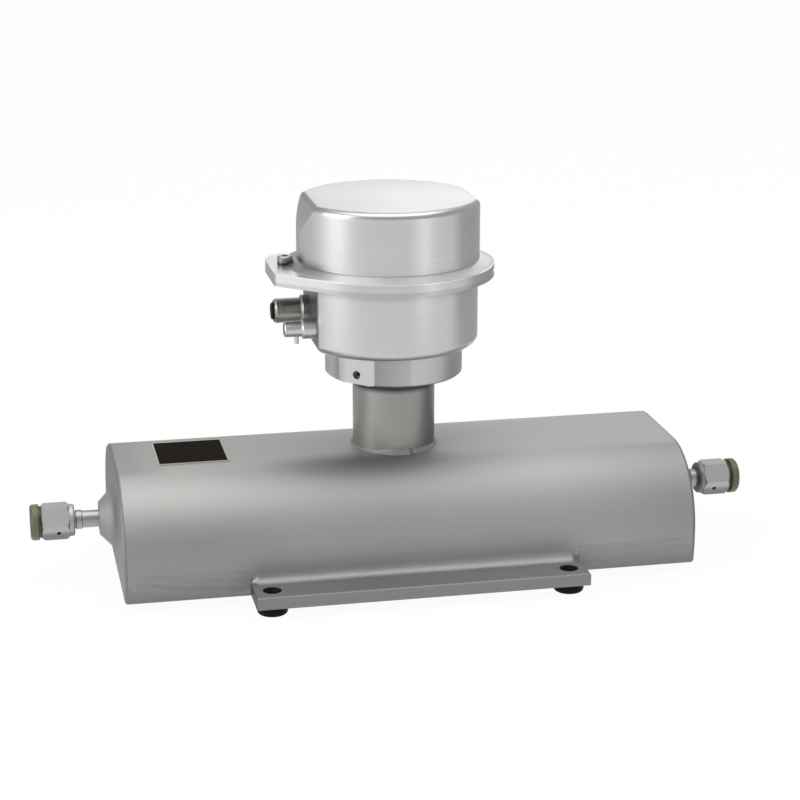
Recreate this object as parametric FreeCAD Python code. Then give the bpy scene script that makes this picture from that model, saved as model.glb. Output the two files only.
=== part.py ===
import FreeCAD, Part
import math
import os

from FreeCAD import Vector as V

os.makedirs("parts", exist_ok=True)

# Millimetres. The floor under the rubber feet is z = 0, the neck axis is x = y = 0,
# the measuring line runs along X and the connectors leave the head toward -X.

FIT = 0.03            # radial clearance of fixed concentric pieces
RUN = 0.05            # radial running clearance of pieces that turn or slide

# sensor body
FOOT_H = 5.0
BODY_HALF = 136.5     # half length of the sheet shell
BODY_HALF_W = 56.5
BODY_TOP = 57.5       # flat crown of the shell above the floor
BODY_LOW = 3.9        # underside of the bottom pan
SHEET = 2.0
CROWN_R = 37.2        # quarter-round shoulders of the shell
SEAM_H = 9.0          # height of the bottom pan
PAN_LEAN = 0.9        # inward lean of the pan wall below the seam
PAN_EDGE = 1.5        # rounded lower edge of the pan
SEAM_Z = BODY_LOW + SEAM_H
LINE_Z = 28.0         # axis of the measuring line

# end plates
END_T = 1.5
END_BEVEL = 1.0
BOSS_R, BOSS_NOSE_R, BOSS_L = 15.5, 8.0, 7.1
BOSS_BLEND = 6.0      # hollow fillet between boss and plate

# mounting rails and feet
RAIL_HALF, RAIL_D, RAIL_T = 79.5, 20.5, 6.0
HOLE_X, HOLE_Y, HOLE_R = RAIL_HALF - 8.4, BODY_HALF_W + 11.5, 4.5
BEAD = 4.6
FOOT_R, SLEEVE_R = 7.2, 3.7
SLEEVE_LOW = 0.3      # top of the rubber sleeve below the rail top

# neck and clamping collar
NECK_R, NECK_WALL = 20.0, 3.0
NECK_BEAD = 1.3
NECK_OPEN = 36.9      # bare length of the neck below the collar
COLLAR_R, COLLAR_H = 33.3, 15.1
COLLAR_Z = BODY_TOP + NECK_OPEN
COLLAR_TOP = COLLAR_Z + COLLAR_H
NECK_TOP = COLLAR_TOP - 4.0
PASSAGE_R = 14.0
SEAL_Z, SEAL_H, SEAL_D = COLLAR_Z + 7.5, 1.2, 1.4
LEDGE_Z = BODY_TOP + 16.5
SET_ANGLE = 225.0     # direction of the set screw around Z
SET_Z = COLLAR_Z + 4.5
SET_R, SET_OUT = 2.05, 29.9
SET_FLAT = 31.7
GROOVE_R, GROOVE_HALF = 19.2, 2.3

# transmitter head
HEAD_X = -2.6
HEAD_R, HEAD_WALL, HEAD_H = 43.2, 3.1, 35.2
HEAD_FLOOR, HEAD_EDGE = 4.0, 4.0
FACET = 38.2          # connector facet, distance from the head axis
FLANGE_R, FLANGE_T, LID_PLATE = 51.0, 1.9, 4.0
EAR_END, EAR_Y, EAR_HALF, EAR_NEAR, EAR_FAR = 57.6, 1.6, 18.4, 3.0, 16.0
PART_Z = COLLAR_TOP + HEAD_H
FLANGE_Z, FLANGE_TOP = PART_Z - FLANGE_T, PART_Z + LID_PLATE
LUG_R = 4.6           # boss under the ear that the lid screw threads into
LID_R, LID_WALL, LID_H, LID_EDGE = 43.95, 3.2, 35.6, 3.0
LID_FOOT, LID_TOP = FLANGE_TOP + 2.4, PART_Z + LID_H
# bulging facets of the lid: distance from the head axis and drop from the top, at three points
EAR_FACET = [(37.9, 0.0), (41.3, -7.0), (LID_R, -17.0)]
FAR_FACET = [(39.3, 0.0), (42.2, -3.0), (LID_R, -8.0)]
GASKET_IN, GASKET_OUT, GASKET_H = 40.9, 42.0, 1.0
SCREW_X, SCREW_Y = -52.2, 3.0
SCREW_R, SCREW_HEAD_R, SCREW_HEAD_H = 2.0, 3.6, 4.0

# connectors on the facet
M12_Y, M12_Z, M12_R, M12_FACE = 12.2, COLLAR_TOP + 14.0, 6.0, -58.0
M12_STEM, M12_RIM = 5.0, 0.8
AUX_Y, AUX_Z, AUX_R, AUX_FACE = -14.0, COLLAR_TOP + 11.4, 3.8, -55.7
AUX_STEM = 3.2

# line ends
LINE_R, BORE_R = 4.15, 1.5
BAND_GAP, BAND_L, BAND_T = 0.4, 3.4, 0.5    # band on the line tube behind the nut
NUT_IN = BODY_HALF + END_T + 19.0
NUT_AF, NUT_RING_R, NUT_BORE = 15.88, 7.75, 6.55
NUT_RING_L, NUT_HEX_L = 2.5, 13.1
NUT_HEX = NUT_IN + NUT_RING_L
NUT_END = NUT_HEX + NUT_HEX_L
GLAND_IN, GLAND_L, GLAND_R = NUT_IN + 4.0, 4.0, 6.2
GLAND_END = GLAND_IN + GLAND_L
TEST_X, TEST_R, TEST_TURN = NUT_HEX + 5.3, 1.05, -30.0
CAP_GAP, CAP_L, CAP_R, CAP_PLUG = 1.3, 5.4, 8.7, 6.0

# measuring loops
LOOP_R, LOOP_BORE = 2.0, 1.5
LOOP_DZ = 11.0        # half the distance between the two loops
LOW, HIGH = LINE_Z - LOOP_DZ, LINE_Z + LOOP_DZ
BASE_Z, BASE_T = BODY_LOW + SHEET, 6.0
BLOCK_IN, BLOCK_OUT = BODY_HALF - 64.5, BODY_HALF - 36.5
LOOP_END, LOOP_F, LOOP_B = BLOCK_IN + 4.0, 20.5 - BODY_HALF_W, BODY_HALF_W - 18.5
LOOP_WAIST, LOOP_WIDE = 0.5 * LOOP_END, 0.868 * LOOP_END
LOOP = [(-LOOP_END, LOOP_F), (-LOOP_WAIST, LOOP_F), (-LOOP_WIDE, LOOP_B),
        (LOOP_WIDE, LOOP_B), (LOOP_WAIST, LOOP_F), (LOOP_END, LOOP_F)]
LOOP_BENDS = [9.0, 12.0, 12.0, 9.0]
BLOCK_F, BLOCK_B, BLOCK_TOP = LOOP_F - 8.0, 8.0, LINE_Z + 15.0
BLOCK_SCREWS = [(BLOCK_OUT - 6.0, -20.0), (BLOCK_IN + 7.0, -14.0)]
BLOCK_SCREW_R = 2.0
DROP_X = BLOCK_IN + 14.0
COIL_R, COIL_HOLE, COIL_H = 6.0, 3.7, 6.5
MAGNET_R = 3.0

# boards in the head
FLOOR_Z = COLLAR_TOP + HEAD_FLOOR
LOW_BOARD, HIGH_BOARD, PCB = FLOOR_Z + 17.1, FLOOR_Z + 32.6, 1.6
BOARD_R, BOARD_CUT = 35.5, 27.0
POSTS = [(24.0, 24.0), (24.0, -24.0), (-22.0, 27.0), (-22.0, -27.0)]
POST_R, POST_SCREW_R = 3.0, 1.5


def box(x0, x1, y0, y1, z0, z1):
    return Part.makeBox(x1 - x0, y1 - y0, z1 - z0, V(x0, y0, z0))


def rod(r, x, y, z0, z1):
    return Part.makeCylinder(r, z1 - z0, V(x, y, z0), V(0, 0, 1))


def rod_x(r, x0, x1, y, z):
    return Part.makeCylinder(r, x1 - x0, V(x0, y, z), V(1, 0, 0))


def ring(r, hole, x, y, z0, z1):
    return rod(r, x, y, z0, z1).cut(rod(hole, x, y, z0 - 1, z1 + 1))


def turned(points, centre, axis=V(0, 0, 1)):
    """Revolves (radius, height) points about an axis through centre."""
    if axis.z:
        pts = [V(centre.x + r, centre.y, centre.z + h) for r, h in points]
    else:
        pts = [V(centre.x + h * axis.x, centre.y, centre.z + r) for r, h in points]
    face = Part.Face(Part.makePolygon(pts + pts[:1]))
    return face.revolve(centre, axis, 360)


def prism_x(points, x0, x1):
    """Extrudes (y, z) points along X."""
    pts = [V(x0, y, z) for y, z in points]
    return Part.Face(Part.makePolygon(pts + pts[:1])).extrude(V(x1 - x0, 0, 0))


def mirrored(shape):
    return shape.mirror(V(0, 0, 0), V(1, 0, 0))


def both_sides(shape):
    return Part.makeCompound([shape, mirrored(shape)])


def save(name, shape):
    shape.exportStep("parts/" + name + ".step")


def section(inset, x0, x1, z_low):
    """Arched cross-section: flat crown, quarter-round shoulders, straight sides."""
    w, top, r = BODY_HALF_W - inset, BODY_TOP - inset, CROWN_R - inset
    c, s, zc = w - r, r * math.sqrt(0.5), top - r
    p = lambda y, z: V(x0, y, z)
    edges = [
        Part.makeLine(p(-w, z_low), p(-w, zc)),
        Part.Arc(p(-w, zc), p(-c - s, zc + s), p(-c, top)).toShape(),
        Part.makeLine(p(-c, top), p(c, top)),
        Part.Arc(p(c, top), p(c + s, zc + s), p(w, zc)).toShape(),
        Part.makeLine(p(w, zc), p(w, z_low)),
        Part.makeLine(p(w, z_low), p(-w, z_low)),
    ]
    return Part.Face(Part.Wire(edges)).extrude(V(x1 - x0, 0, 0))


def pan_block(inset, x0, x1):
    """Solid of the bottom pan: walls lean in below the seam, lower edges are rounded."""
    w, low = BODY_HALF_W - inset, BODY_LOW + inset
    block = prism_x([(-w, SEAM_Z), (-w + PAN_LEAN, low), (w - PAN_LEAN, low), (w, SEAM_Z)], x0, x1)
    lower = [e for e in block.Edges if all(abs(v.Z - low) < 1e-6 for v in e.Vertexes)
             and abs(e.Vertexes[0].Y - e.Vertexes[1].Y) < 1e-6]
    return block.makeFillet(PAN_EDGE - 0.5 * inset, lower)


def body_block(x0, x1):
    """Full outline of the body between two cuts, without hollows."""
    return section(0, x0, x1, SEAM_Z).fuse(pan_block(0, x0, x1)).removeSplitter()


def shell():
    body = section(0, -BODY_HALF, BODY_HALF, SEAM_Z).cut(section(SHEET, -BODY_HALF, BODY_HALF, SEAM_Z))
    return body.cut(rod(PASSAGE_R, 0, 0, BODY_TOP - 5, BODY_TOP + 5))


def bottom_pan():
    return pan_block(0, -BODY_HALF, BODY_HALF).cut(pan_block(SHEET, -BODY_HALF, BODY_HALF))


def end_plate():
    """Right-hand end plate: bevelled rim, conical boss blended in where the line leaves."""
    x = BODY_HALF + END_T
    plate = body_block(BODY_HALF, x)
    rim = [e for e in plate.Edges if all(abs(v.X - x) < 1e-6 for v in e.Vertexes)]
    plate = plate.makeChamfer(END_BEVEL, rim)
    boss = turned([(0, -0.5), (BOSS_R, -0.5), (BOSS_R, 0), (BOSS_NOSE_R, BOSS_L), (0, BOSS_L)],
                  V(x, 0, LINE_Z), V(1, 0, 0))
    plate = plate.fuse(boss).removeSplitter()
    root = [e for e in plate.Edges if abs(e.Length - 2 * math.pi * BOSS_R) < 0.01]
    plate = plate.makeFillet(BOSS_BLEND, root)
    return plate.cut(rod_x(LINE_R + FIT, x - 10, x + 20, 0, LINE_Z))


def rail():
    """Front mounting rail with two screw holes, its back shaped to the pan wall."""
    y0, z0 = -BODY_HALF_W - RAIL_D, FOOT_H
    bar = box(-RAIL_HALF, RAIL_HALF, y0, -BODY_HALF_W + 2, z0, z0 + RAIL_T)
    edges = [e for e in bar.Edges if all(v.Z > z0 + 1 for v in e.Vertexes)
             and not all(v.Y > y0 + 1 for v in e.Vertexes)]
    bar = bar.makeChamfer(0.5, edges).cut(body_block(-BODY_HALF, BODY_HALF))
    for x in (-HOLE_X, HOLE_X):
        bar = bar.cut(rod(HOLE_R, x, -HOLE_Y, z0 - 1, z0 + RAIL_T + 1))
    return bar


def rail_bead():
    """Hollow-faced weld bead in the corner between the front wall and the rail."""
    y, z = -BODY_HALF_W, FOOT_H + RAIL_T
    low, hollow = 0.4, BEAD * (1 - math.sqrt(0.5))
    p = lambda a, b: V(-RAIL_HALF, y - a, z + b)
    edges = [Part.makeLine(p(0, BEAD), p(-1, BEAD)), Part.makeLine(p(-1, BEAD), p(-1, 0)),
             Part.makeLine(p(-1, 0), p(BEAD, 0)), Part.makeLine(p(BEAD, 0), p(BEAD, low)),
             Part.Arc(p(BEAD, low), p(hollow, hollow + low * 0.5), p(0, BEAD)).toShape()]
    bead = Part.Face(Part.Wire(edges)).extrude(V(2 * RAIL_HALF, 0, 0))
    return bead.cut(body_block(-BODY_HALF, BODY_HALF))


def feet():
    """Four rubber feet, each with a thin sleeve that lines the rail hole."""
    out, top, sleeve = [], FOOT_H + RAIL_T - SLEEVE_LOW, HOLE_R - FIT
    for x in (-HOLE_X, HOLE_X):
        for y in (-HOLE_Y, HOLE_Y):
            out.append(turned([(SLEEVE_R, 0.0), (FOOT_R - 1.1, 0.0), (FOOT_R - 0.3, 0.8), (FOOT_R, 1.8),
                               (FOOT_R, FOOT_H), (sleeve, FOOT_H), (sleeve, top), (SLEEVE_R, top)], V(x, y, 0)))
    return Part.makeCompound(out)


def nameplate():
    plate = box(19.3 - BODY_HALF, 53.5 - BODY_HALF, -15.0, 19.8, BODY_TOP, BODY_TOP + 0.5)
    rim = [e for e in plate.Edges if abs(e.Vertexes[0].Z - e.Vertexes[1].Z) > 0.4]
    return plate.makeFillet(1.2, rim)


def neck():
    r_in, seal_in = NECK_R - NECK_WALL, NECK_R - SEAL_D
    pts = [(r_in, BODY_TOP), (NECK_R, BODY_TOP), (NECK_R, SET_Z - GROOVE_HALF),
           (GROOVE_R, SET_Z - GROOVE_HALF + 0.6), (GROOVE_R, SET_Z + GROOVE_HALF - 0.6),
           (NECK_R, SET_Z + GROOVE_HALF - 0.2), (NECK_R, SEAL_Z), (seal_in, SEAL_Z),
           (seal_in, SEAL_Z + SEAL_H), (NECK_R, SEAL_Z + SEAL_H), (NECK_R, NECK_TOP), (r_in, NECK_TOP),
           (r_in, LEDGE_Z), (r_in - 2.0, LEDGE_Z), (r_in - 2.0, LEDGE_Z - 3.0), (r_in, LEDGE_Z - 5.0)]
    return turned(pts, V(0, 0, 0))


def neck_bead():
    """Weld bead round the foot of the neck."""
    b, r = NECK_BEAD, NECK_R + FIT
    pts = [(r, BODY_TOP), (r + b, BODY_TOP), (r + b * 0.75, BODY_TOP + b * 0.75), (r, BODY_TOP + b * 1.2)]
    return turned(pts, V(0, 0, 0))


def neck_ring():
    return ring(NECK_R - 0.02, NECK_R - SEAL_D + 0.02, 0, 0, SEAL_Z, SEAL_Z + SEAL_H)


def feedthrough():
    """Glass-sealed plug on the neck ledge with a circle of nine pins."""
    r, z = NECK_R - NECK_WALL - FIT, LEDGE_Z
    body = turned([(0, z), (r, z), (r, z + 4.0), (r - 3, z + 4.0), (r - 4, z + 5.5), (0, z + 5.5)], V(0, 0, 0))
    for i in range(9):
        a = math.radians(40 * i)
        body = body.fuse(rod(0.6, 8.5 * math.cos(a), 8.5 * math.sin(a), z - 6.0, z + 11.5))
    return body


def loop_bar(z, r):
    """Round bar of radius r: straight runs through the loop points, joined by tangent bends."""
    pts = [V(x, y, z) for x, y in LOOP]
    here, pieces = pts[0], []
    for i, radius in enumerate(LOOP_BENDS, start=1):
        a, b, c = pts[i - 1:i + 2]
        u, w = (b - a).normalize(), (c - b).normalize()
        turn = math.acos(u.dot(w))
        cut = radius * math.tan(turn / 2)
        start, side = b - u * cut, V(0, 0, math.copysign(1, u.cross(w).z))
        disc = Part.Face(Part.Wire(Part.makeCircle(r, start, u)))
        pieces.append(Part.makeCylinder(r, start.distanceToPoint(here), here, u))
        pieces.append(disc.revolve(start + side.cross(u) * radius, side, math.degrees(turn)))
        here = b + w * cut
    pieces.append(Part.makeCylinder(r, pts[-1].distanceToPoint(here), here, pts[-1] - here))
    return pieces[0].fuse(pieces[1:])


def loops():
    return Part.makeCompound([loop_bar(z, LOOP_R).cut(loop_bar(z, LOOP_BORE)) for z in (LOW, HIGH)])


def line_tube():
    """Right-hand line tube from the manifold to the sealing gland."""
    x0 = BLOCK_OUT - 6.0
    near, far, r = NUT_IN - BAND_GAP, NUT_IN - BAND_GAP - BAND_L, LINE_R + BAND_T
    pts = [(BORE_R, x0), (LINE_R, x0), (LINE_R, far), (r, far + 0.4), (r, near - 0.4), (LINE_R, near),
           (LINE_R, GLAND_IN), (GLAND_R, GLAND_IN), (GLAND_R, GLAND_END - 0.6),
           (GLAND_R - 0.6, GLAND_END), (GLAND_R - 1.6, GLAND_END), (GLAND_R - 2.4, GLAND_END + 0.5),
           (GLAND_R - 3.2, GLAND_END), (BORE_R, GLAND_END)]
    return turned(pts, V(0, 0, LINE_Z), V(1, 0, 0))


def manifold():
    """Right-hand manifold: one line bore splits to the two loops."""
    z0 = BASE_Z + BASE_T
    block = box(BLOCK_IN, BLOCK_OUT, BLOCK_F, BLOCK_B, z0, BLOCK_TOP)
    upright = [e for e in block.Edges if abs(e.Vertexes[0].Z - e.Vertexes[1].Z) > 5]
    block = block.makeFillet(3.0, upright)
    block = block.cut(rod_x(LINE_R + FIT, BLOCK_OUT - 6.0, BLOCK_OUT + 1, 0, LINE_Z))
    block = block.cut(rod_x(BORE_R, DROP_X, BLOCK_OUT, 0, LINE_Z))
    block = block.cut(rod(BORE_R, DROP_X, 0, LOW, HIGH))
    y_loop, x_loop = LOOP[-1][1], LOOP[-1][0]
    for z in (LOW, HIGH):
        block = block.cut(Part.makeCylinder(BORE_R, -y_loop, V(DROP_X, y_loop, z), V(0, 1, 0)))
        block = block.cut(rod_x(BORE_R, x_loop, DROP_X, y_loop, z))
        block = block.cut(rod_x(LOOP_R + FIT, BLOCK_IN - 1, x_loop, y_loop, z))
    for x, y in BLOCK_SCREWS:
        block = block.cut(rod(BLOCK_SCREW_R + FIT, x, y, z0 - 1, BLOCK_TOP + 1))
    return block


def manifold_screws():
    screws = []
    for x, y in BLOCK_SCREWS:
        screw = rod(BLOCK_SCREW_R, x, y, BASE_Z + 2.0, BLOCK_TOP)
        screw = screw.fuse(rod(3.5, x, y, BLOCK_TOP, BLOCK_TOP + 4.0))
        screw = screw.cut(hexagon(3.0, x, y, BLOCK_TOP + 1.8, BLOCK_TOP + 5))
        screws += [screw, mirrored(screw)]
    return Part.makeCompound(screws)


def hexagon(af, x, y, z0, z1, turn=0.0):
    r = af / math.sqrt(3)
    pts = [V(x + r * math.cos(math.radians(60 * i + turn)), y + r * math.sin(math.radians(60 * i + turn)), z0)
           for i in range(6)]
    return Part.Face(Part.makePolygon(pts + pts[:1])).extrude(V(0, 0, z1 - z0))


def base_frame():
    z0 = BASE_Z
    half, front, back = BLOCK_OUT + 6.0, 6.5 - BODY_HALF_W, BODY_HALF_W - 8.5
    plate = box(-half, half, front, back, z0, z0 + BASE_T)
    plate = plate.cut(box(16.0 - BLOCK_IN, BLOCK_IN - 16.0, front + 20, back - 22, z0 - 1, z0 + BASE_T + 1))
    upright = [e for e in plate.Edges if abs(e.Vertexes[0].Z - e.Vertexes[1].Z) > 5]
    plate = plate.makeFillet(6.0, upright)
    for x, y in BLOCK_SCREWS:
        for side in (-1, 1):
            plate = plate.cut(rod(BLOCK_SCREW_R + FIT, side * x, y, z0 + 2.0, z0 + BASE_T + 1))
    return plate


def braces():
    """Node plates that tie the two loops together next to the manifolds."""
    y = LOOP[0][1]
    x = BLOCK_IN - 12.0
    plate = box(x, x + 1.5, y - 5, y + 5, LOW - 3.2, HIGH + 5)
    for z in (LOW, HIGH):
        plate = plate.cut(rod_x(LOOP_R + FIT, x - 5, x + 5, y, z))
    return both_sides(plate)


def leg_point(y):
    """Point and direction angle on the right-hand sloping leg."""
    (x0, y0), (x1, y1) = LOOP[4], LOOP[3]
    t = (y - y0) / (y1 - y0)
    return x0 + t * (x1 - x0), y, math.degrees(math.atan2(y1 - y0, x1 - x0))


STATIONS = [(0.0, LOOP_B, 0.0), leg_point(LOOP_B - 20.0)]


def saddle(z, up):
    """Small bracket gripping a loop tube, its flat side toward the other loop."""
    block = box(-5, 5, -4.5, 4.5, z - LOOP_R - 0.8, z + 4.0)
    block = block.cut(rod_x(LOOP_R + FIT, -6, 6, 0, z))
    if not up:
        block = block.mirror(V(0, 0, z), V(0, 0, 1))
    return block


def placed(shape, station):
    x, y, angle = station
    out = shape.copy()
    out.rotate(V(0, 0, 0), V(0, 0, 1), angle)
    out.translate(V(x, y, 0))
    return out


def coil():
    return ring(COIL_R, COIL_HOLE, 0, 0, LOW + 4.0, LOW + 4.0 + COIL_H)


def magnet():
    return rod(MAGNET_R, 0, 0, LOW + 7.0, HIGH - 4.0)


def at_pickoffs(shape):
    right = placed(shape, STATIONS[1])
    return Part.makeCompound([right, mirrored(right)])


def saddles():
    pair = Part.makeCompound([saddle(LOW, True), saddle(HIGH, False)])
    solids = [s for st in STATIONS for s in placed(pair, st).Solids]
    solids += mirrored(placed(pair, STATIONS[1])).Solids
    return Part.makeCompound(solids)


def temperature_probe():
    """Sheathed sensor standing in the left-hand manifold."""
    x, y = -DROP_X - 6.0, -6.0
    return rod(1.6, x, y, BLOCK_TOP - 9.0, BLOCK_TOP).fuse(rod(2.6, x, y, BLOCK_TOP, BLOCK_TOP + 3.0))


def plate_outline(z0, z1):
    """Round flange with one ear: sides run tangent to the circle, the two far corners are rounded."""
    r = FLANGE_R
    ends, touch = [], []
    for side in (1, -1):
        x, y = -EAR_END, EAR_Y + side * EAR_HALF
        turn = math.atan2(y, x) - side * math.acos(r / math.hypot(x, y))
        touch.append(V(HEAD_X + r * math.cos(turn), r * math.sin(turn), z0))
        ends.append(V(HEAD_X + x, y, z0))
    pts = [touch[0], ends[0], ends[1], touch[1]]
    ear = Part.Face(Part.makePolygon(pts + pts[:1])).extrude(V(0, 0, z1 - z0))
    for end, radius in zip(ends, (EAR_FAR, EAR_NEAR)):
        corner = [e for e in ear.Edges if all(math.hypot(v.X - end.x, v.Y - end.y) < 1e-6 for v in e.Vertexes)]
        ear = ear.makeFillet(radius, corner)
    return rod(r, HEAD_X, 0, z0, z1).fuse(ear).removeSplitter()


def pry_notch():
    """Shallow V cut on the right where a blade can lift the lid."""
    pts = [V(HEAD_X + r, 0, PART_Z + h) for r, h in
           ((FLANGE_R - 1.5, 0), (FLANGE_R + 1, 2.6), (FLANGE_R + 1, -2.6))]
    wedge = Part.Face(Part.makePolygon(pts + pts[:1])).revolve(V(HEAD_X, 0, 0), V(0, 0, 1), 34)
    wedge.rotate(V(HEAD_X, 0, 0), V(0, 0, 1), -28)
    return wedge


def screw_lug(z0, z1):
    """Rounded boss under the lid ear, joined to the housing flange."""
    lug = rod(LUG_R, SCREW_X, SCREW_Y, z0, z1)
    return lug.fuse(box(SCREW_X, HEAD_X - HEAD_R + 2, SCREW_Y - LUG_R, SCREW_Y + LUG_R, z0, z1))


def housing():
    """Cup with a floor, a flat connector face, a thin eared flange and the screw lug."""
    z0 = COLLAR_TOP
    body = rod(HEAD_R, HEAD_X, 0, z0, PART_Z)
    body = body.cut(box(HEAD_X - 60, HEAD_X - FACET, -60, 60, z0 - 1, PART_Z + 1))
    body = body.makeFillet(HEAD_EDGE, [e for e in body.Edges if all(abs(v.Z - z0) < 1e-6 for v in e.Vertexes)])
    body = body.fuse(plate_outline(FLANGE_Z, PART_Z)).fuse(screw_lug(FLANGE_Z - 2.5, PART_Z))
    cavity = rod(HEAD_R - HEAD_WALL, HEAD_X, 0, FLOOR_Z, PART_Z + 1)
    cavity = cavity.common(box(HEAD_X - FACET + 3.0, 80, -60, 60, z0, PART_Z + 1))
    body = body.cut(cavity).cut(rod(PASSAGE_R, 0, 0, z0 - 1, z0 + 5))
    body = body.cut(ring(GASKET_OUT, GASKET_IN, HEAD_X, 0, PART_Z - GASKET_H, PART_Z + 1))
    body = body.cut(rod(SCREW_R + RUN, SCREW_X, SCREW_Y, FLANGE_Z - 4, PART_Z + 1))
    body = body.cut(rod_x(M12_STEM + FIT, HEAD_X - FACET - 1, HEAD_X - FACET + 4, M12_Y, M12_Z))
    body = body.cut(rod_x(AUX_STEM + FIT, HEAD_X - FACET - 1, HEAD_X - FACET + 4, AUX_Y, AUX_Z))
    return body.cut(pry_notch()).removeSplitter()


def leaning_facets(body, inset=0.0):
    """Cuts the two bulging facets that start at the lid's top and run out on its wall."""
    for side, rows in ((-1, EAR_FACET), (1, FAR_FACET)):
        p = [V(HEAD_X + side * (x - inset), -60, LID_TOP + h) for x, h in rows]
        up, out = V(p[0].x, -60, LID_TOP + 5), V(HEAD_X + side * 80, -60, LID_TOP + 5)
        down = V(HEAD_X + side * 80, -60, p[2].z)
        edges = [Part.Arc(*p).toShape()] + [Part.makeLine(a, b) for a, b in zip((p[2], down, out, up), (down, out, up, p[0]))]
        body = body.cut(Part.Face(Part.Wire(edges)).extrude(V(0, 120, 0)))
    return body


def lid():
    """Lift-off cover: thick eared plate, drum with a rounded rim and two facets, hollow inside."""
    drum = leaning_facets(rod(LID_R, HEAD_X, 0, PART_Z, LID_TOP))
    rim = [e for e in drum.Edges if all(abs(v.Z - LID_TOP) < 1e-6 for v in e.Vertexes)]
    drum = drum.makeFillet(LID_EDGE, rim)
    skirt = turned([(0, FLANGE_TOP - 1), (FLANGE_R - 0.8, FLANGE_TOP - 1), (FLANGE_R - 0.8, FLANGE_TOP),
                    (LID_R, LID_FOOT), (0, LID_FOOT)], V(HEAD_X, 0, 0))
    body = drum.fuse(plate_outline(PART_Z, FLANGE_TOP)).fuse(skirt)
    body = body.cut(rod(SCREW_HEAD_R + 0.6, SCREW_X, SCREW_Y, FLANGE_TOP, FLANGE_TOP + 9))
    hollow = rod(LID_R - LID_WALL, HEAD_X, 0, PART_Z - 1, LID_TOP - LID_WALL)
    body = body.cut(leaning_facets(hollow, LID_WALL))
    body = body.cut(rod(SCREW_R + RUN, SCREW_X, SCREW_Y, PART_Z - 1, FLANGE_TOP + 1))
    return body.cut(pry_notch()).removeSplitter()


def lid_screw():
    top = FLANGE_TOP + SCREW_HEAD_H
    screw = rod(SCREW_R, SCREW_X, SCREW_Y, FLANGE_Z - 2.3, FLANGE_TOP + 0.1)
    head = turned([(0, FLANGE_TOP), (SCREW_HEAD_R, FLANGE_TOP), (SCREW_HEAD_R, top - 0.5),
                   (SCREW_HEAD_R - 0.5, top), (0, top)], V(SCREW_X, SCREW_Y, 0))
    return screw.fuse(head).cut(hexagon(3.0, SCREW_X, SCREW_Y, top - 2.2, top + 1, 15)).removeSplitter()


def gasket():
    return ring(GASKET_OUT - FIT, GASKET_IN + FIT, HEAD_X, 0, PART_Z - GASKET_H, PART_Z)


def collar():
    body = turned([(NECK_R + RUN, COLLAR_Z), (COLLAR_R - 0.8, COLLAR_Z), (COLLAR_R, COLLAR_Z + 0.8),
                   (COLLAR_R, COLLAR_TOP - 0.7), (COLLAR_R - 0.7, COLLAR_TOP), (PASSAGE_R, COLLAR_TOP),
                   (PASSAGE_R, NECK_TOP + RUN), (NECK_R + RUN, NECK_TOP + RUN)], V(0, 0, 0))
    flat = box(SET_FLAT, 50, -30, 30, COLLAR_Z - 1, COLLAR_TOP + 1)
    hole = rod_x(SET_R + RUN, 15, 50, 0, SET_Z)
    for tool in (flat, hole):
        tool.rotate(V(0, 0, 0), V(0, 0, 1), SET_ANGLE)
        body = body.cut(tool)
    return body


def set_screw():
    screw = turned([(0, GROOVE_R + 0.15), (1.3, GROOVE_R + 0.15), (SET_R, GROOVE_R + 1.1), (SET_R, SET_OUT),
                    (0, SET_OUT)], V(0, 0, SET_Z), V(1, 0, 0))
    socket = hexagon(2.0, 0, 0, 0, 4)
    socket.rotate(V(0, 0, 0), V(0, 1, 0), 90)
    socket.translate(V(SET_OUT - 2.5, 0, SET_Z))
    screw = screw.cut(socket)
    screw.rotate(V(0, 0, 0), V(0, 0, 1), SET_ANGLE)
    return screw


def m12_shell():
    """Plug barrel with its flange on the facet and the nut that holds it from inside."""
    x, wall = HEAD_X - FACET, 3.0
    pts = [(0, 9.0), (M12_STEM, 9.0), (M12_STEM, 0.0), (M12_R + 1.3, 0.0), (M12_R + 1.3, -2.6),
           (M12_R, -3.2), (M12_R, M12_FACE - x + 0.5), (M12_R - 0.4, M12_FACE - x),
           (M12_R - M12_RIM, M12_FACE - x), (M12_R - M12_RIM, M12_FACE - x + 8.0), (0, M12_FACE - x + 8.0)]
    body = turned(pts, V(x, M12_Y, M12_Z), V(1, 0, 0))
    nut = rod_x(M12_STEM + 1.6, x + wall, x + wall + 3.0, M12_Y, M12_Z)
    nut = nut.cut(rod_x(M12_STEM + FIT, x, x + 9, M12_Y, M12_Z))
    return body, nut


def m12_insert():
    r = M12_R - M12_RIM - FIT
    body = rod_x(r, M12_FACE + 0.1, M12_FACE + 8.0, M12_Y, M12_Z)
    for i in range(5):
        a, d = math.radians(90 * i + 45), (0.0 if i == 4 else 2.3)
        body = body.cut(rod_x(0.6, M12_FACE, M12_FACE + 4.5, M12_Y + d * math.cos(a), M12_Z + d * math.sin(a)))
    key = box(M12_FACE, M12_FACE + 4.5, M12_Y - 0.6, M12_Y + 0.6, M12_Z + r - 0.8, M12_Z + r + 1)
    return body.cut(key)


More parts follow.
